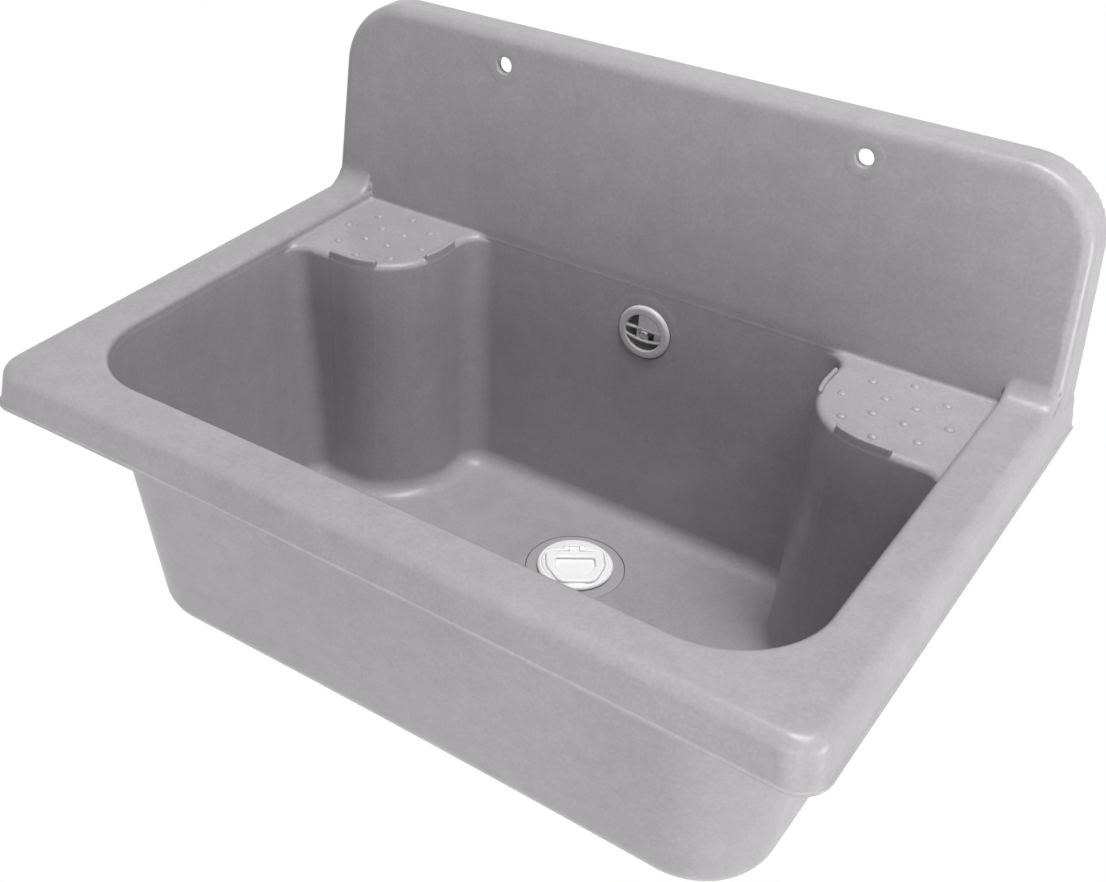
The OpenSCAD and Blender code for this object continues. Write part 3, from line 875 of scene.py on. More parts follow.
    def front_face(self, y: Array, z: Array) -> Array:
        """Distance in front of the leaning face of splashback and back wall."""
        lean = (self.splash_base - self.splash_top) / self.splash_height
        draft = self.back_draft / self.basin_depth
        return -y - self.splash_base + np.where(z > 0, lean * z, draft * z)

    def _column(self, ax: Array, y: Array, share: Array) -> Array:
        """Plan of the two shelf columns."""
        return round_max(self.column_x - self.column_spread * share - ax,
                         -(self.column_y + self.column_spread * share) - y, self.column_corner)

    def _lips(self, ax: Array, y: Array, z: Array, column: Array) -> Array:
        """The two raised lips on the edge of each shelf."""
        strip = np.abs(column + self.lip / 2) - self.lip / 2
        lip = round_max(strip, z + self.shelf_drop - self.lip_height, self.lip_edge)
        middle, half, reach = self.front_lip
        front = np.maximum(np.abs(ax - middle) - half, y + self.column_y - reach)
        middle, half, reach = self.side_lip
        side = np.maximum(np.abs(y + middle) - half, ax - self.column_x - reach)
        return np.minimum(round_max(lip, front, self.lip_end), round_max(lip, side, self.lip_end))

    def _cavity(self, ax: Array, y: Array, z: Array, bowed: Array) -> tuple[Array, Array]:
        """Hollow of the basin round the shelves, and the plan of its mouth."""
        share = np.clip(-z / self.basin_depth, 0, 1.1)
        side = ax - (self.half_width - self.rim_side - self.side_draft * share)
        front = -y - (self.depth - self.rim_front - self.front_draft * share) + bowed
        mouth = round_max(side, front, self.basin_corner - self.corner_draft * share)
        below = -z - self.shelf_drop
        back = y + self.splash_base + self.back_draft * share
        sharp, soft = self.back_corner
        walls = round_max(mouth, back, sharp + (soft - sharp) * ease((below + 3.5) / 4.5))
        column = self._column(ax, y, share)
        towards_back = ease((y + self.column_y - 20) / 50)
        growth = self.back_fillet - self.side_fillet + self.column_spread * share
        well = round_max(walls, -column, self.side_fillet + growth * towards_back)
        well = round_max(well, -z - self.basin_depth, self.floor_round)
        hollow = round_min(well, below, self.column_edge)
        # The walls cut the shelf's space off with a rounding that fades out below the shelf.
        # The second term keeps the skin at its full thickness, where both forms run together.
        round_off = self.shelf_edge * (1 - ease(below / 4))
        trimmed = round_max(hollow, walls, round_off)
        hollow = np.minimum(trimmed, np.maximum(hollow, walls) + 0.3 * round_off)
        return round_max(hollow, -self._lips(ax, y, z, column), self.lip_foot), mouth

    def form(self, x: Array, y: Array, z: Array) -> Array:
        """Signed distance to the moulding, without the rings round its openings."""
        ax = np.abs(x)
        bowed = self.bow * (1 - (x / self.half_width) ** 2)
        hollow, mouth = self._cavity(ax, y, z, bowed)
        basin = np.maximum(np.maximum(hollow - self.wall, -hollow), z + self.wall - 0.5)

        spread = np.maximum(-z, 0) * self.flare / self.skirt
        plan = round_max(ax - self.half_width - spread, -y - self.depth - spread + bowed,
                         self.corner)
        rim = round_max(round_max(plan, z, self.edge), -self.skirt - z, self.hem)
        bead = np.hypot(plan, z + self.skirt - self.bead) - self.bead
        rim = round_min(rim, bead, 0.4)
        rim_hollow = round_max(plan + self.wall, z + self.wall, self.edge - self.wall)

        lean = ax - self.half_width + self.side_lean * np.maximum(z, 0)
        face = self.front_face(y, z)
        ends = round_max(lean, z - self.splash_height, self.splash_corner)
        splash = round_max(round_max(ends, face, self.edge), -self.skirt - z, self.hem)
        splash_hollow = round_max(ends + self.wall, face + self.wall, self.edge - self.wall)

        up = np.minimum(np.minimum(round_max(rim, -mouth, self.inner_edge), splash),
                        self._cove(y, z, lean, mouth))
        up = np.maximum(up, -np.minimum(rim_hollow, splash_hollow))
        body = round_max(np.minimum(up, basin), y, 0.4)
        return self._pierced(body, ax, x, y, z)

    def _cove(self, y: Array, z: Array, lean: Array, mouth: Array) -> Array:
        """Cove where the rim's side strips run up into the splashback, rooted in both."""
        tilt = math.atan((self.splash_base - self.splash_top) / self.splash_height)
        middle = -self.splash_base - self.cove / math.tan(math.pi / 4 + tilt / 2)
        hollow = self.cove - np.hypot(y - middle, z - self.cove)
        solid = np.maximum(np.maximum(hollow, middle - y), z - self.cove * (1 - math.sin(tilt)))
        solid = np.maximum(np.maximum(solid, y + self.splash_base - 6), -3 - z)
        return round_max(round_max(solid, lean, self.edge), -mouth, self.inner_edge)

    def _pierced(self, body: Array, ax: Array, x: Array, y: Array, z: Array) -> Array:
        """The body with its openings, each a little wider than the ring that lines it."""
        fixing = self.hole + 3 - np.hypot(ax - self.hole_pitch / 2, z - self.hole_up)
        waste = np.minimum(self.boss - 2 - np.hypot(x, y + self.waste_y),
                           -z - self.basin_depth + 20)
        overflow = np.minimum(self.overflow_pad + 2 - np.hypot(x, z + self.overflow_drop),
                              np.minimum(y + 45, -20 - y))
        return np.maximum(np.maximum(body, fixing), np.maximum(waste, overflow))

    def extras(self) -> list[tuple[Array, Array]]:
        """Rings that line the openings, and the studs of the shelves."""
        shells = [self._waste_ring(), self._overflow_ring()]
        for side in (-1, 1):
            shells.append(self._fixing_ring(side))
            shells.extend(self._studs(side))
        return shells

    def _waste_ring(self) -> tuple[Array, Array]:
        """Recess for the flange, the bore and the boss under the floor."""
        bore, boss, recess = self.waste_bore, self.boss, self.waste_recess
        outer, seat, bottom = boss + self.wall, -self.recess_depth, -self.boss_depth
        points, quads = turned_shell(rounded_profile([
            (bore, seat, 0.4), (bore, bottom, 0.5), (boss, bottom, 0.8), (boss, bottom / 2, 0),
            (outer, -2, 0), (outer, self.proud, 0.05), (recess, self.proud, 0.3),
            (recess, seat, 0.2)]), 128)
        points += (0, -self.waste_y, -self.basin_depth)
        return points, quads

    def _on_wall(self, points: Array, quads: Array, across: float,
                 up: float) -> tuple[Array, Array]:
        """A shell drawn looking at the wall, turned to stand on it."""
        return np.stack([points[:, 0] + across, -points[:, 2], points[:, 1] + up], axis=1), quads

    def _overflow_ring(self) -> tuple[Array, Array]:
        """Flat seat of the rosette in the drafted wall, with its bore and the pad behind."""
        draft = self.back_draft / self.basin_depth
        face = self.splash_base + draft * self.overflow_drop
        bore, pad, seat = self.overflow_bore, self.overflow_pad, self.rosette_seat
        outer, floor, back = pad + 6, face - self.seat_depth, self.pad_back
        points, quads = turned_shell(rounded_profile([
            (bore, floor, 0.3), (bore, back, 0.3), (pad, back, 0.5), (pad, face - 3.2, 0),
            (outer, face - 2, 0), (outer, face + self.proud, 0.04),
            (seat, face + self.proud, 0.3), (seat, floor, 0.15)]), 96)
        away = np.hypot(points[:, 0], points[:, 1])
        tilted = (away > outer - 1) | ((away > seat - 0.1) & (points[:, 2] > face - 0.5))
        points[:, 2] -= np.where(tilted, draft * points[:, 1], 0)
        return self._on_wall(points, quads, 0.0, -self.overflow_drop)

    def _fixing_ring(self, side: int) -> tuple[Array, Array]:
        """Edge of one wall fixing hole through the leaning skin."""
        lean = (self.splash_base - self.splash_top) / self.splash_height
        face = self.splash_base - lean * self.hole_up
        back, outer = face - self.wall - self.proud, self.hole + 8
        profile = rounded_profile([
            (self.hole, back, 0.4), (outer, back, 0.03), (outer, face + 0.04, 0.03),
            (self.hole, face + 0.04, self.hole_edge)], 6)
        points, quads = turned_shell(profile, 48)
        points[:, 2] -= lean * points[:, 1]
        return self._on_wall(points, quads, side * self.hole_pitch / 2, self.hole_up)

    def _studs(self, side: int) -> list[tuple[Array, Array]]:
        """Soft studs of one shelf, eight in a ring and four inside it."""
        middle_x = (self.column_x + self.half_width - self.rim_side) / 2
        middle_y = -(self.column_y + self.splash_base) / 2
        ball = (self.stud ** 2 + self.stud_rise ** 2) / (2 * self.stud_rise)
        tip = 0.2
        dome = [(float(r), self.stud_rise - ball + math.sqrt(ball ** 2 - r ** 2))
                for r in np.linspace(self.stud, tip, 10)]
        profile = [(tip, -self.stud_root), (self.stud, -self.stud_root), *dome]
        shells = []
        for step in range(8):
            angle = TAU * step / 8
            for reach in (self.stud_ring, self.stud_inner)[:1 + step % 2]:
                points, quads = turned_shell(profile, 24)
                points += (side * middle_x + reach * math.cos(angle),
                           middle_y + reach * math.sin(angle), self.proud - self.shelf_drop)
                shells.append((points, quads))
        return shells


# ---- fittings ------------------------------------------------------------------------


@dataclass
class DrainFlange(FormedPiece):
    """Flange of the waste: the ring in the floor, the plug's seat and the cross for the screw.

    Its datum is on the waste axis, at the level of the basin floor.

    Attributes:
        sunk: How far its face lies below the floor.
        edge_break: Size of the slope along its outer edge, bevel of the one at the seat.
        ledge: Radius of the opening below the plug's seat.
        cross_under: Depth of the underside of the cross.
    """

    radius: float = 39.0
    sunk: float = 0.1
    edge_break: float = 0.5
    bevel: float = 1.4
    under: float = 2.0
    tube: float = 26.5
    seat: float = 25.0
    seat_depth: float = 5.0
    ledge: float = 22.2
    cross_under: float = 14.0
    cross_height: float = 5.0
    spoke: float = 3.0
    hub: float = 7.0
    bore: float = 3.3
    countersink: float = 2.8
    cell: float = 0.9

    name = "waste_flange"
    nodes = ("drain_flange",)
    slot = "grey_plastic"
    finish = Finishes.FLANGE

    def lines(self) -> list[Array]:
        """Grid planes round the flange."""
        reach = self.radius + 1.5
        return [*even_lines((-reach, -reach), (reach, reach), self.cell),
                grid_line(-self.cross_under - 1.5, 1.2, 0.55)]

    def form(self, x: Array, y: Array, z: Array) -> Array:
        """Signed distance to the flange."""
        edge, inner, face, seat = self.radius, self.tube - 2, -self.sunk, -self.seat_depth
        ring = turned(x, y, z, [
            (inner, -self.cross_under), (self.tube, -self.cross_under), (self.tube, -self.under),
            (edge, -self.under), (edge, -self.edge_break), (edge - self.edge_break, face),
            (self.seat + self.bevel, face), (self.seat, face - self.bevel), (self.seat, seat),
            (self.ledge, seat), (self.ledge, seat - 1.5), (inner, seat - 3.5)], 0.3)
        middle = z + self.cross_under - self.cross_height / 2
        half = (self.tube - 1, self.spoke / 2, self.cross_height / 2)
        cross = np.minimum(bar(x, y, middle, half, 0.6), bar(y, x, middle, half, 0.6))
        cross = round_min(cross, rod(x, y, middle, self.hub, self.cross_height / 2, 0.6), 1.2)
        solid = round_min(ring, cross, 1.0)
        away = np.hypot(x, y) - self.bore
        rise = z + self.cross_under - self.cross_height + self.countersink
        cone = (away - rise) / math.sqrt(2)
        return round_max(solid, -np.minimum(away, cone), 0.3)


@dataclass
class PlugCap(FormedPiece):
    """Domed plug with its skirt, the recess for the handle and two knuckles.

    Its datum is on the waste axis at the level of the basin floor, with X along the hinge.

    Attributes:
        edge_under: Lowest height of the rim, edge_low of its upright edge, edge_top of its top.
        under: Depth of the underside of the disc.
        seal_inner: Radius of the groove that holds the seal, seal_outer of the land over it.
        skirt: Thickness of the skirt below the disc, skirt_low its depth.
        barb: How far the skirt's foot stands out to hold the seal, barb_top where it starts.
        ring: Radius of the groove round the dome, ring_in its distance from the rim.
        recess: Height of the floor under the handle.
        slot_half: Half width of the slot between the knuckles, slot_radius its reach.
    """

    radius: float = 30.0
    top: float = 6.8
    edge_under: float = 0.6
    edge_low: float = 1.4
    edge_top: float = 2.2
    under: float = 3.5
    seal_inner: float = 20.4
    seal_outer: float = 24.6
    seal_top: float = 1.9
    skirt: float = 2.6
    skirt_low: float = 6.4
    barb: float = 0.9
    barb_top: float = 5.2
    ring: float = 0.8
    ring_in: float = 2.8
    ring_z: float = 5.15
    loop_gap: float = 0.4
    recess: float = 3.2
    hinge_y: float = 16.0
    hinge_z: float = 5.0
    knuckle: float = 2.7
    knuckle_end: float = 8.3
    slot_half: float = 4.3
    slot_radius: float = 2.6
    axle_bore: float = 1.56
    axle_end: float = 7.5
    cell: float = 0.6

    name = "plug"
    nodes = ("plug_cap",)
    body = "plug"
    slot = "plug_plastic"

    def lines(self) -> list[Array]:
        """Grid planes round the plug."""
        reach = self.radius + 1.2
        return [*even_lines((-reach, -reach), (reach, reach), self.cell), grid_line(-7.4, 9.0, 0.5)]

    def form(self, x: Array, y: Array, z: Array) -> Array:
        """Signed distance to the plug."""
        rise = self.top - self.edge_top
        dome = [(self.radius * math.cos(math.radians(a)) ** 0.55,
                 self.edge_top + rise * math.sin(math.radians(a)) ** 0.9) for a in range(0, 90, 10)]
        inner, outer, foot = self.seal_inner, self.seal_outer, self.seal_inner + self.barb
        bevel = self.edge_low - self.edge_under
        cap = turned(x, y, z, [
            (-4.0, -self.under), (inner - self.skirt, -self.under),
            (inner - self.skirt, -self.skirt_low), (foot, -self.skirt_low),
            (foot, -self.barb_top), (inner, -self.barb_top), (inner, -self.seal_top),
            (outer, -self.seal_top), (outer, self.edge_under),
            (self.radius - bevel, self.edge_under), (self.radius, self.edge_low), *dome,
            (0.0, self.top), (-4.0, self.top)], 0.3)
        ring = np.hypot(np.hypot(x, y) - self.radius + self.ring_in, z - self.ring_z)
        cap = round_max(cap, self.ring - ring, 0.4)
        knuckles = rod(y - self.hinge_y, z - self.hinge_z, x, self.knuckle, self.knuckle_end, 0.6)
        cap = round_min(cap, knuckles, 0.8)
        loop = round_max(outline(x, y, loop_plan(self.loop_gap)), self.recess - z, 0.7)
        across = np.abs(x) - self.slot_half
        from_hinge = np.hypot(y - self.hinge_y, z - self.hinge_z)
        round_barrel = np.maximum(from_hinge - self.slot_radius, across)
        ahead = np.maximum(slab(y, 11.0, self.hinge_y), self.recess - z)
        behind = np.maximum(slab(y, self.hinge_y, self.hinge_y + self.slot_radius),
                            self.hinge_z - z)
        slot = np.minimum(round_barrel, np.maximum(across, np.minimum(ahead, behind)))
        axle = np.maximum(from_hinge - self.axle_bore, np.abs(x) - self.axle_end)
        return round_max(round_max(cap, -loop, 1.2), -np.minimum(slot, axle), 0.3)


def loop_plan(grow: float) -> list[Pair]:
    """Outer line of the plug's handle, moved out by grow."""
    side, back, front = 23.0 + grow, 12.5 + grow, -24.5 - grow
    return rounded_profile([(-side, -6, 12), (-14, front, 9), (14, front, 9), (side, -6, 12),
                            (side, back, 4), (-side, back, 4)])


@dataclass
class PlugHandle(FormedPiece):
    """Flat loop of the plug with its barrel and the two axle stubs.

    Attributes:
        low: Height of its underside.
        edge: Rounding of its edges.
        opening: Half width, front and back of the hole for the finger.
        tongue_root: Where the tongue to the barrel starts.
    """

    low: float = 3.4
    thickness: float = 3.0
    edge: float = 1.45
    opening: Triple = (15.5, -16.5, 5.0)
    tongue_root: float = 12.0
    hinge_y: float = 16.0
    hinge_z: float = 5.0
    barrel: float = 2.0
    barrel_half: float = 4.0
    axle: float = 1.5
    axle_half: float = 7.2
    cell: float = 0.5

    name = "plug_loop"
    nodes = ("plug_handle",)
    body = "handle"
    slot = "plug_plastic"

    def lines(self) -> list[Array]:
        """Grid planes round the loop."""
        return [*even_lines((-24.2, -25.7), (24.2, 19.3), self.cell), grid_line(2.3, 8.2, 0.4)]

    def form(self, x: Array, y: Array, z: Array) -> Array:
        """Signed distance to the loop."""
        side, front, back = self.opening
        opening = rounded_profile([(-side, -6, 5), (-9, front, 6), (9, front, 6), (side, -6, 5),
                                   (side, back, 2.5), (-side, back, 2.5)])
        plan = np.maximum(outline(x, y, loop_plan(0.0)), -outline(x, y, opening))
        half = self.thickness / 2
        over = z - self.low - half
        loop = round_max(plan, np.abs(over) - half, self.edge)
        root = self.tongue_root
        tongue = bar(x, y - (root + self.hinge_y) / 2, over,
                     (self.barrel_half, (self.hinge_y - root) / 2 + 1, half), 0.5)
        hinge = rod(y - self.hinge_y, z - self.hinge_z, x, self.barrel, self.barrel_half, 0.4)
        axle = rod(y - self.hinge_y, z - self.hinge_z, x, self.axle, self.axle_half, 0.3)
        return np.minimum(round_min(round_min(loop, tongue, 0.6), hinge, 0.4), axle)


@dataclass
class OverflowRosette(FormedPiece):
    """Ring over the overflow: a closed quarter, two bars and the block for the screw.

    Its datum is the middle of its seat on the back wall, with Z towards the room.

    Attributes:
        tube: Radius of the tube that goes into the wall.
        crown: Height of the ring's face.
        arc: Radius of the curved lower bar, arc_drop its lowest place.
        bar_half: Half width of the two bars.
        bar_up: Height of the straight upper bar.
        block: Half sizes of the block round the screw, plate of the thin plate beside it.
        screw_drop: How far the screw lies below the middle.
    """

    radius: float = 21.6
    inner: float = 15.0
    tube: float = 16.4
    tube_inner: float = 14.9
    tube_length: float = 8.0
    crown: float = 3.4
    arc: float = 41.6
    arc_drop: float = 7.0
    bar_half: float = 0.9
    bar_up: float = 2.75
    block: Triple = (4.8, 5.0, 1.2)
    plate: Triple = (4.0, 5.0, 0.5)
    screw_drop: float = 2.0
    screw_bore: float = 2.3
    screw_head: float = 3.7
    cell: float = 0.5

    name = "overflow_cover"
    nodes = ("overflow_rosette",)
    slot = "grey_plastic"
    finish = Finishes.ROSETTE

    def lines(self) -> list[Array]:
        """Grid planes round the rosette."""
        reach = self.radius + 1.0
        return [*even_lines((-reach, -reach), (reach, reach), self.cell),
                grid_line(-self.tube_length - 1, self.crown + 1, 0.5)]

    def form(self, x: Array, y: Array, z: Array) -> Array:
        """Signed distance to the rosette."""
        edge, inner = self.radius, self.inner
        ring = turned(x, y, z, [
            (self.tube_inner, -self.tube_length), (self.tube, -self.tube_length), (self.tube, 0),
            (edge, 0),
            (edge, 1.6), (edge - 0.5, 2.6), (edge - 1.7, 3.3), (edge - 2.6, self.crown),
            (inner + 0.9, self.crown), (inner + 0.1, 3.0), (inner, 2.2),
            (self.tube_inner, 2.0)], 0.3)
        quarter = round_max(np.maximum(-4.6 - x, 3 - y), slab(z, 0.6, self.crown - 0.3), 0.4)
        upper = bar(x, y - self.bar_up, z - 1.6, (self.tube + 3.6, self.bar_half, 1.6), 0.4)
        over = y + self.screw_drop
        block = bar(x + 0.9, over, z - self.block[2], self.block, 0.4)
        plate = bar(x - 12.5, over, z - self.plate[2], self.plate, 0.3)
        curve = np.abs(np.hypot(x, y - self.arc + self.arc_drop) - self.arc)
        lower = round_max(curve - self.bar_half + 0.05, np.abs(z - 1.5) - 1.5, 0.35)
        face = round_min(np.minimum(np.minimum(quarter, block), plate),
                         np.minimum(upper, np.maximum(lower, y)), 0.5)
        face = np.maximum(face, np.hypot(x, y) - inner - 0.3)
        away = np.hypot(x, over)
        screw = np.minimum(away - self.screw_bore, np.maximum(away - self.screw_head, 1 - z))
        return round_max(round_min(ring, face, 0.4), -screw, 0.25)


@dataclass
class WasteBody(FormedPiece):
    """Cup under the floor with the overflow inlet, the hub and the threaded outlet.

    Its datum is on the waste axis, at the level of the basin floor.

    Attributes:
        collar: Radius of the flat collar under the floor.
        cup: Inner radius of the cup.
        insert: Radius of the hole for the insert in the hub.
        spoke_half: Half thickness of the four spokes of the hub.
    """

    collar: float = 42.0
    collar_top: float = -11.0
    cup: float = 27.5
    cup_low: float = 49.0
    outlet: float = 23.9
    outlet_length: float = 20.0
    outlet_bore: float = 19.9
    inlet_z: float = -34.0
    inlet_length: float = 42.0
    inlet_radius: float = 11.0
    inlet_bore: float = 8.0
    hub: float = 7.0
    hub_low: float = -34.0
    hub_top: float = -14.0
    insert: float = 4.2
    spoke_half: float = 1.5
    cell: float = 1.2

    name = "waste_cup"
    nodes = ("waste_body",)
    slot = "white_plastic"

    def lines(self) -> list[Array]:
        """Grid planes round the cup, closer along the threads."""
        reach = self.collar + 1.5
        low = -self.cup_low - self.outlet_length
        return [grid_line(-reach, reach, self.cell),
                grid_line(-reach, reach, self.cell, [(27.0, reach, 0.6)]),
                grid_line(low - 1.5, self.collar_top + 1.5, self.cell, [
                    (low - 1, -self.cup_low + 1, 0.45),
                    (self.collar_top - 5, self.collar_top + 1, 0.7)])]

    def form(self, x: Array, y: Array, z: Array) -> Array:
        """Signed distance to the waste body."""
        top, low = self.collar_top, -self.cup_low
        bottom = low - self.outlet_length
        cup = turned(x, y, z, [
            (self.cup, low + 9), (self.outlet_bore, low + 3), (self.outlet_bore, bottom),
            (self.outlet - 1.2, bottom), (self.outlet, bottom + 1.2), (self.outlet, low),
            (self.outlet + 2, low), (self.outlet + 2, low + 2), (self.cup + 2.5, low + 7),
            (self.cup + 3, top - 4), (self.collar, top - 3), (self.collar, top),
            (self.cup, top)], 0.5)
        away = np.hypot(x, y)
        outlet = threaded(away - self.outlet, z, np.arctan2(y, x), OUTLET_THREAD,
                          (bottom + 1.0, low - 1.5), (1.5, 1.5))
        cup = np.maximum(cup, np.where(z < low - 0.5, outlet, -9))
        up, half = z - self.inlet_z, self.inlet_length / 2
        inlet = rod(x, up, y - half, self.inlet_radius, half, 0.5)
        inlet = np.maximum(inlet, threaded(
            np.hypot(x, up) - self.inlet_radius, y, np.arctan2(x, up), UNION_THREAD,
            (31.0, self.inlet_length - 0.8), (2.0, 1.2)))
        inlet = np.maximum(inlet, self.cup + 1.0 - away)
        solid = round_min(cup, inlet, 1.5)
        for side in (-1, 1):
            along, across = (x + side * y) / math.sqrt(2), (x - side * y) / math.sqrt(2)
            spoke = bar(along, across, z - self.hub_low - 5,
                        (self.cup + 1, self.spoke_half, 4.0), 0.5)
            solid = round_min(solid, spoke, 0.8)
        middle = (self.hub_low + self.hub_top) / 2
        solid = round_min(solid, rod(x, y, z - middle, self.hub, self.hub_top - middle, 0.5), 1.0)
        bore = np.maximum(np.hypot(x, up) - self.inlet_bore, self.cup - 4 - y)
        return round_max(round_max(solid, -bore, 0.4), self.insert - away, 0.3)


@dataclass
class OverflowElbow(FormedPiece):
    """Round chamber behind the wall with its threaded spigot pointing down.

    Its datum is the middle of the rosette's seat, with Z towards the room.

    Attributes:
        plate: Radius of the plate against the gasket.
        chamber: Radius of the chamber, skin its wall.
        boss: Radius of the boss for the screw, boss_drop how far it lies below the middle.
        insert: Radius of the hole for the insert in the boss.
    """

    plate: float = 23.0
    plate_back: float = -9.4
    plate_front: float = -6.9
    chamber: float = 19.0
    back: float = -31.4
    corner: float = 3.0
    skin: float = 2.0
    spigot: float = 11.0
    spigot_bore: float = 8.0
    spigot_end: float = -38.0
    spigot_z: float = -19.4
    boss: float = 4.5
    boss_drop: float = 2.0
    insert: float = 3.0
    cell: float = 0.9

    name = "overflow_chamber"
    nodes = ("overflow_elbow",)
    slot = "white_plastic"

    def lines(self) -> list[Array]:
        """Grid planes round the chamber, closer along the thread."""
        reach = self.plate + 1.5
        return [grid_line(-reach, reach, self.cell),
                grid_line(self.spigot_end - 1.5, reach, self.cell,
                          [(self.spigot_end - 1, -24.0, 0.45)]),
                grid_line(self.back - 1.5, self.plate_front + 1.5, self.cell,
                          [(self.plate_back - 1.5, self.plate_front + 1, 0.6)])]

    def form(self, x: Array, y: Array, z: Array) -> Array:
        """Signed distance to the chamber."""
        away = np.hypot(x, y)
        front = self.plate_front - 1
        can = rod(x, y, z - (self.back + front) / 2, self.chamber, (front - self.back) / 2,
                  self.corner)
        plate = rod(x, y, z - (self.plate_back + self.plate_front) / 2, self.plate,
                    (self.plate_front - self.plate_back) / 2, 0.6)
        ahead, root = z - self.spigot_z, -8.0
        spigot = rod(x, ahead, y - (self.spigot_end + root) / 2, self.spigot,
                     (root - self.spigot_end) / 2, 0.5)
        spigot = np.maximum(spigot, threaded(
            np.hypot(x, ahead) - self.spigot, y, -np.arctan2(x, ahead), UNION_THREAD,
            (self.spigot_end + 0.8, -26.0), (1.2, 2.0)))
        solid = round_min(round_min(can, plate, 1.5), spigot, 1.5)
        hollow = round_max(away - self.chamber + self.skin, self.back + self.skin - z, 2.0)
        boss = np.maximum(np.hypot(x, y + self.boss_drop) - self.boss, z - self.back - 14)
        hollow = round_max(hollow, -boss, 1.0)
        bore = np.maximum(np.hypot(x, ahead) - self.spigot_bore, y + 11)
        pit = np.maximum(np.hypot(x, y + self.boss_drop) - self.insert, self.back + 4 - z)
        return round_max(solid, -np.minimum(np.minimum(hollow, bore), pit), 0.4)


@dataclass
class UnionNut(FormedPiece):
    """Union nut with grip ribs, drawn along Z from its open end.

    Attributes:
        number: Which end of the hose it sits at.
        neck: Radius of the opening for the hose.
        lap: How far the nut reaches over the thread.
        seal_top: Height of the shoulder over the seal.
        ribs: Number of grip ribs.
        rib: Half width and half height of a rib.
    """

    number: str = "upper"
    inner: float = 11.1
    outer: float = 14.5
    length: float = 17.0
    neck: float = 9.2
    lap: float = 8.0
    seal_top: float = 11.0
    ribs: int = 12
    rib: Pair = (1.2, 1.25)
    cell: float = 0.6

    slot = "white_plastic"

    def __post_init__(self) -> None:
        """Name the nut for its end of the hose."""
        self.name = f"union_nut_{self.number}"
        self.nodes = (f"hose_nut_{self.number}",)

    def lines(self) -> list[Array]:
        """Grid planes round the nut."""
        reach = self.outer + 1.0
        return even_lines((-reach, -reach, -1.0), (reach, reach, self.length + 1), self.cell)

    def form(self, x: Array, y: Array, z: Array) -> Array:
        """Signed distance to the nut."""
        edge, top = self.outer - 1.0, self.length
        nut = turned(x, y, z, [
            (self.inner, 0), (edge - 0.6, 0), (edge, 0.6), (edge, top - 3), (edge - 2.5, top),
            (self.neck, top), (self.neck, self.seal_top), (self.inner, self.seal_top)], 0.3)
        step = TAU / self.ribs
        turn = np.abs((np.arctan2(y, x) + step / 2) % step - step / 2)
        away = np.hypot(x, y)
        width, height = self.rib
        rib = bar(away * np.sin(turn), away * np.cos(turn) - self.outer + height,
                  z - top / 2 + 1.5, (width, height, (top - 5) / 2), 0.5)
        return round_min(nut, rib, 0.5)


@dataclass
class OverflowHose(FormedPiece):
    """Corrugated hose: down behind the basin, a quarter bend, then level to the waste.

    Its datum is the sink's own, on the wall at the level of the rim.

    Attributes:
        behind: Where the upright run stands, measured from the wall.
        end: Where the level run ends, measured from the wall.
        top: Height of the upper end.
        low: Height of the level run.
        bend: Radius of the bend.
        radius: Outer radius over the rings, valley between them, collar at the ends.
    """

    behind: float = -17.0
    top: float = -82.0
    low: float = -254.0
    end: float = -76.0
    bend: float = 36.0
    radius: float = 10.0
    valley: float = 8.2
    bore: float = 7.0
    collar: float = 9.0
    collar_length: float = 10.0
    rings: int = 36
    cell: float = 0.75

    name = "overflow_pipe"
    nodes = ("overflow_hose",)
    slot = "hose_plastic"

    def lines(self) -> list[Array]:
        """Grid planes round the hose."""
        reach = self.radius + 1.0
        return even_lines((-reach, self.end - 1, self.low - reach),
                          (reach, self.behind + reach, self.top + 1), self.cell)

    def form(self, x: Array, y: Array, z: Array) -> Array:
        """Signed distance to the hose."""
        bend_y, bend_z = self.behind - self.bend, self.low + self.bend
        down = self.top - bend_z
        quarter = self.bend * math.pi / 2
        length = down + quarter + bend_y - self.end
        upright, level = z >= bend_z, y <= bend_y
        round_bend = np.hypot(y - bend_y, z - bend_z) - self.bend
        off = np.where(upright, y - self.behind, np.where(level, self.low - z, round_bend))
        in_bend = down + self.bend * np.arctan2(bend_z - z, y - bend_y)
        in_level = down + quarter + bend_y - y
        place = np.where(upright, self.top - z, np.where(level, in_level, in_bend))
        pitch = (length - 2 * self.collar_length) / self.rings
        wave = ease(0.5 + 0.7 * np.sin(TAU * (place - self.collar_length) / pitch))
        corrugated = (place > self.collar_length) & (place < length - self.collar_length)
        radius = np.where(corrugated, self.valley + (self.radius - self.valley) * wave, self.collar)
        away = np.hypot(x, off)
        tube = np.maximum(0.8 * (away - radius), self.bore - away)
        return round_max(tube, np.maximum(-place, place - length), 0.3)


# ---- the room ------------------------------------------------------------------------


@dataclass(frozen=True)
class Softbox:
    """A square lamp, placed in metres from the middle of the rim at the wall."""

    name: str
    at: Triple
    towards: Triple
    size: float
    power: float

    def build(self, origin: Vector) -> None:
        """Hang the lamp.

        Args:
            origin: Place from which the lamp is measured.
        """
        light = bpy.data.lights.new(self.name, "AREA")
        light.size = self.size
        light.energy = self.power
        lamp = bpy.data.objects.new(self.name, light)
        lamp.location = origin + Vector(self.at)
        ray = Vector(self.towards) - Vector(self.at)
        lamp.rotation_euler = ray.to_track_quat("-Z", "Y").to_euler()
        bpy.context.scene.collection.objects.link(lamp)


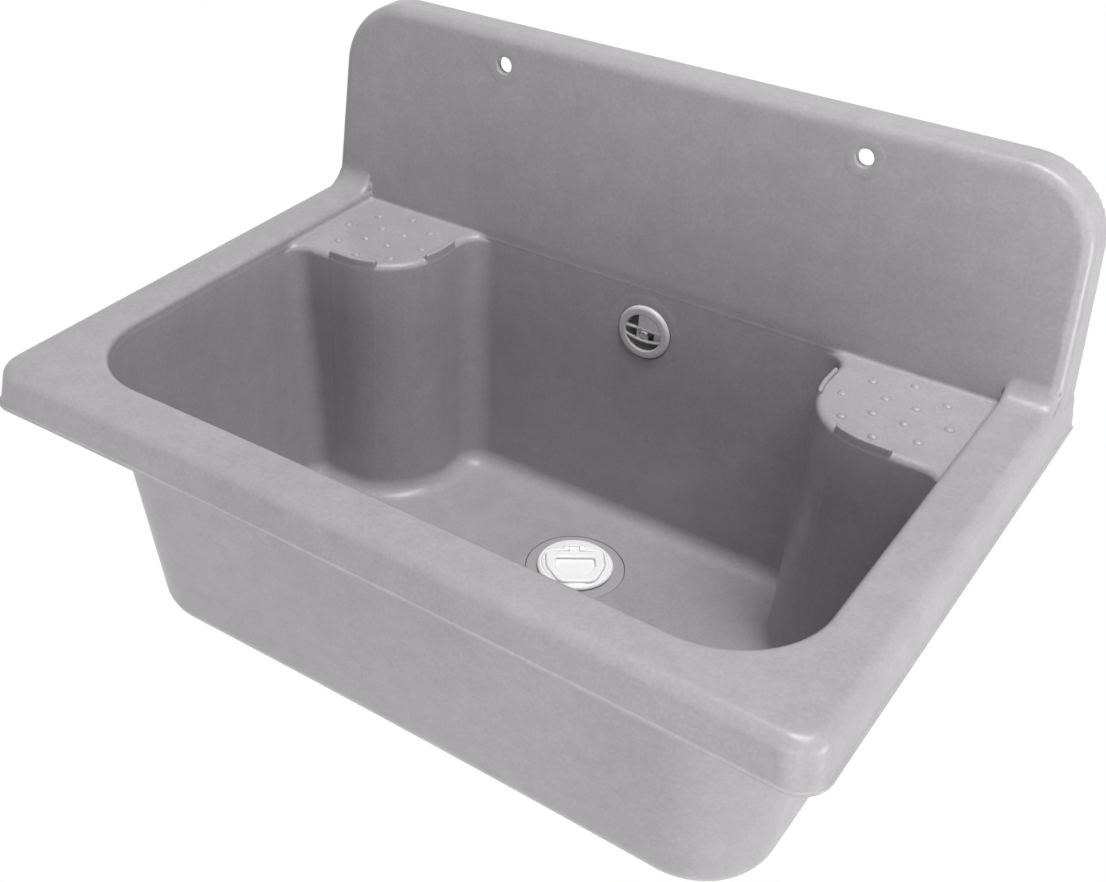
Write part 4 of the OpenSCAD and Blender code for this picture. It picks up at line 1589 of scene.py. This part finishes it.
@dataclass(frozen=True)
class Studio:
    """Pale floor, soft light and the camera, placed from the middle of the rim at the wall.

    Attributes:
        rim: The place from which all is measured.
        floor_below: How far the floor lies below the rim.
        floor_half: Half width of the floor.
        fill: Strength of the even light from all round.
        shift: Shift of the lens in parts of the picture's width.
    """

    rim: Vector
    floor_below: float = 0.85
    floor_half: float = 9.0
    floor_tone: float = 0.86
    floor_roughness: float = 0.9
    fill: float = 0.17
    camera_at: Triple = (0.43335, -0.88443, 0.50878)
    camera_turn: Triple = (53.49, 0.0, 36.1)
    sensor: float = 36.0
    focal: float = 46.77
    shift: Pair = (0.0961, 0.0390)

    lamps = (
        Softbox("high_softbox", (0.3, -0.35, 2.6), (0.0, -0.2, 0.0), 0.8, 41.0),
        Softbox("high_right_softbox", (0.9, -0.35, 1.9), (0.0, -0.2, 0.0), 0.8, 24.0),
        Softbox("front_softbox", (0.6, -2.0, -0.4), (0.0, -0.3, -0.1), 1.8, 31.5),
        Softbox("side_softbox", (2.2, -0.2, -0.3), (0.0, -0.2, -0.1), 0.8, 23.0),
    )

    def build(self) -> None:
        """Put up floor, world, lamps and camera."""
        self._floor()
        self._world()
        for lamp in self.lamps:
            lamp.build(self.rim)
        self._camera()

    def _floor(self) -> None:
        """A wide pale floor below the hung sink, white where the camera sees it."""
        corners = [(x * self.floor_half, y * self.floor_half, 0.0)
                   for x, y in ((-1, -1), (1, -1), (1, 1), (-1, 1))]
        mesh = mesh_from_arrays("floor", np.array(corners), np.array([[0, 1, 2, 3]]))
        floor = bpy.data.objects.new("floor", mesh)
        floor.location.z = self.rim.z - self.floor_below
        bpy.context.scene.collection.objects.link(floor)
        made = bpy.data.materials.new("pale_floor")
        made.use_nodes = True
        tree = made.node_tree
        shader = tree.nodes["Principled BSDF"]
        shader.inputs["Base Color"].default_value = (*(self.floor_tone,) * 3, 1.0)
        shader.inputs["Roughness"].default_value = self.floor_roughness
        glow = tree.nodes.new("ShaderNodeEmission")
        glow.inputs["Color"].default_value = (*EVEN, 1.0)
        mix = tree.nodes.new("ShaderNodeMixShader")
        tree.links.new(self._seen(tree), mix.inputs["Fac"])
        tree.links.new(shader.outputs["BSDF"], mix.inputs[1])
        tree.links.new(glow.outputs["Emission"], mix.inputs[2])
        tree.links.new(mix.outputs["Shader"], tree.nodes["Material Output"].inputs["Surface"])
        mesh.materials.append(made)

    def _seen(self, tree: NodeTree) -> Socket:
        """1 for what the camera sees, straight on, mirrored or through something clear, else 0."""
        path = tree.nodes.new("ShaderNodeLightPath")
        seen = path.outputs["Is Camera Ray"]
        for kind in ("Is Glossy Ray", "Is Transmission Ray"):
            either = tree.nodes.new("ShaderNodeMath")
            either.operation = "MAXIMUM"
            tree.links.new(seen, either.inputs[0])
            tree.links.new(path.outputs[kind], either.inputs[1])
            seen = either.outputs["Value"]
        return seen

    def _world(self) -> None:
        """Even light from all round, white where the camera sees it."""
        world = bpy.data.worlds.new("studio")
        bpy.context.scene.world = world
        world.use_nodes = True
        tree = world.node_tree
        background, white = tree.nodes["Background"], tree.nodes.new("ShaderNodeBackground")
        for shader, strength in ((background, self.fill), (white, 1.0)):
            shader.inputs["Color"].default_value = (*EVEN, 1.0)
            shader.inputs["Strength"].default_value = strength
        mix = tree.nodes.new("ShaderNodeMixShader")
        tree.links.new(self._seen(tree), mix.inputs["Fac"])
        tree.links.new(background.outputs["Background"], mix.inputs[1])
        tree.links.new(white.outputs["Background"], mix.inputs[2])
        tree.links.new(mix.outputs["Shader"], tree.nodes["World Output"].inputs["Surface"])

    def _camera(self) -> None:
        """Camera at the height and turn from which the sink was photographed."""
        lens = bpy.data.cameras.new("camera")
        lens.sensor_width = self.sensor
        lens.sensor_fit = "HORIZONTAL"
        lens.lens = self.focal
        lens.shift_x, lens.shift_y = self.shift
        camera = bpy.data.objects.new("camera", lens)
        camera.location = self.rim + Vector(self.camera_at)
        camera.rotation_euler = tuple(math.radians(a) for a in self.camera_turn)
        bpy.context.scene.collection.objects.link(camera)
        bpy.context.scene.camera = camera


def pieces(datums: Datums) -> list[FormedPiece]:
    """Every formed piece, at its place in the frame.

    Args:
        datums: Places from which the pieces are measured.

    Returns:
        The pieces.
    """
    at_rim = Matrix.Translation(datums.rim) @ Matrix.Scale(MM, 4)
    at_waste = Matrix.Translation(datums.waste) @ Matrix.Scale(MM, 4)
    at_plug = at_waste @ Matrix.Rotation(math.radians(PLUG_TURN), 4, "Z")
    at_overflow = (Matrix.Translation(datums.overflow) @ Matrix.Rotation(math.pi / 2, 4, "X")
                   @ Matrix.Scale(MM, 4))
    upper = at_rim @ Matrix.Translation((0, OverflowHose.behind, OverflowHose.top + UnionNut.lap))
    lower = at_rim @ Matrix.Translation((0, OverflowHose.end - UnionNut.lap, OverflowHose.low))
    return [
        SinkMoulding(at_rim), DrainFlange(at_waste), PlugCap(at_plug), PlugHandle(at_plug),
        OverflowRosette(at_overflow), WasteBody(at_waste), OverflowElbow(at_overflow),
        OverflowHose(at_rim),
        UnionNut(upper @ Matrix.Rotation(math.pi, 4, "X"), "upper"),
        UnionNut(lower @ Matrix.Rotation(-math.pi / 2, 4, "X"), "lower"),
    ]


def dress_nodes(frame: dict) -> None:
    """Give every node of the frame the finish of its material slot.
    """
    slots = {part["node"]: part["material_slot"] for part in frame["record"]["subparts"]}
    for name, node in frame["nodes"].items():
        finish = SLOT_FINISH[slots[name]].value.material()
        for slot in node.material_slots:
            slot.material = finish


def main() -> None:
    """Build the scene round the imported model."""
    logging.basicConfig(level=logging.INFO, format="%(name)s: %(message)s")
    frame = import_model()
    bpy.context.scene.view_settings.view_transform = "Standard"
    dress_nodes(frame)
    datums = Datums.from_frame(SinkMoulding.splash_height, SinkMoulding.basin_depth)
    for piece in pieces(datums):
        piece.build()
    Studio(datums.rim).build()


if __name__ == "__main__":
    main()
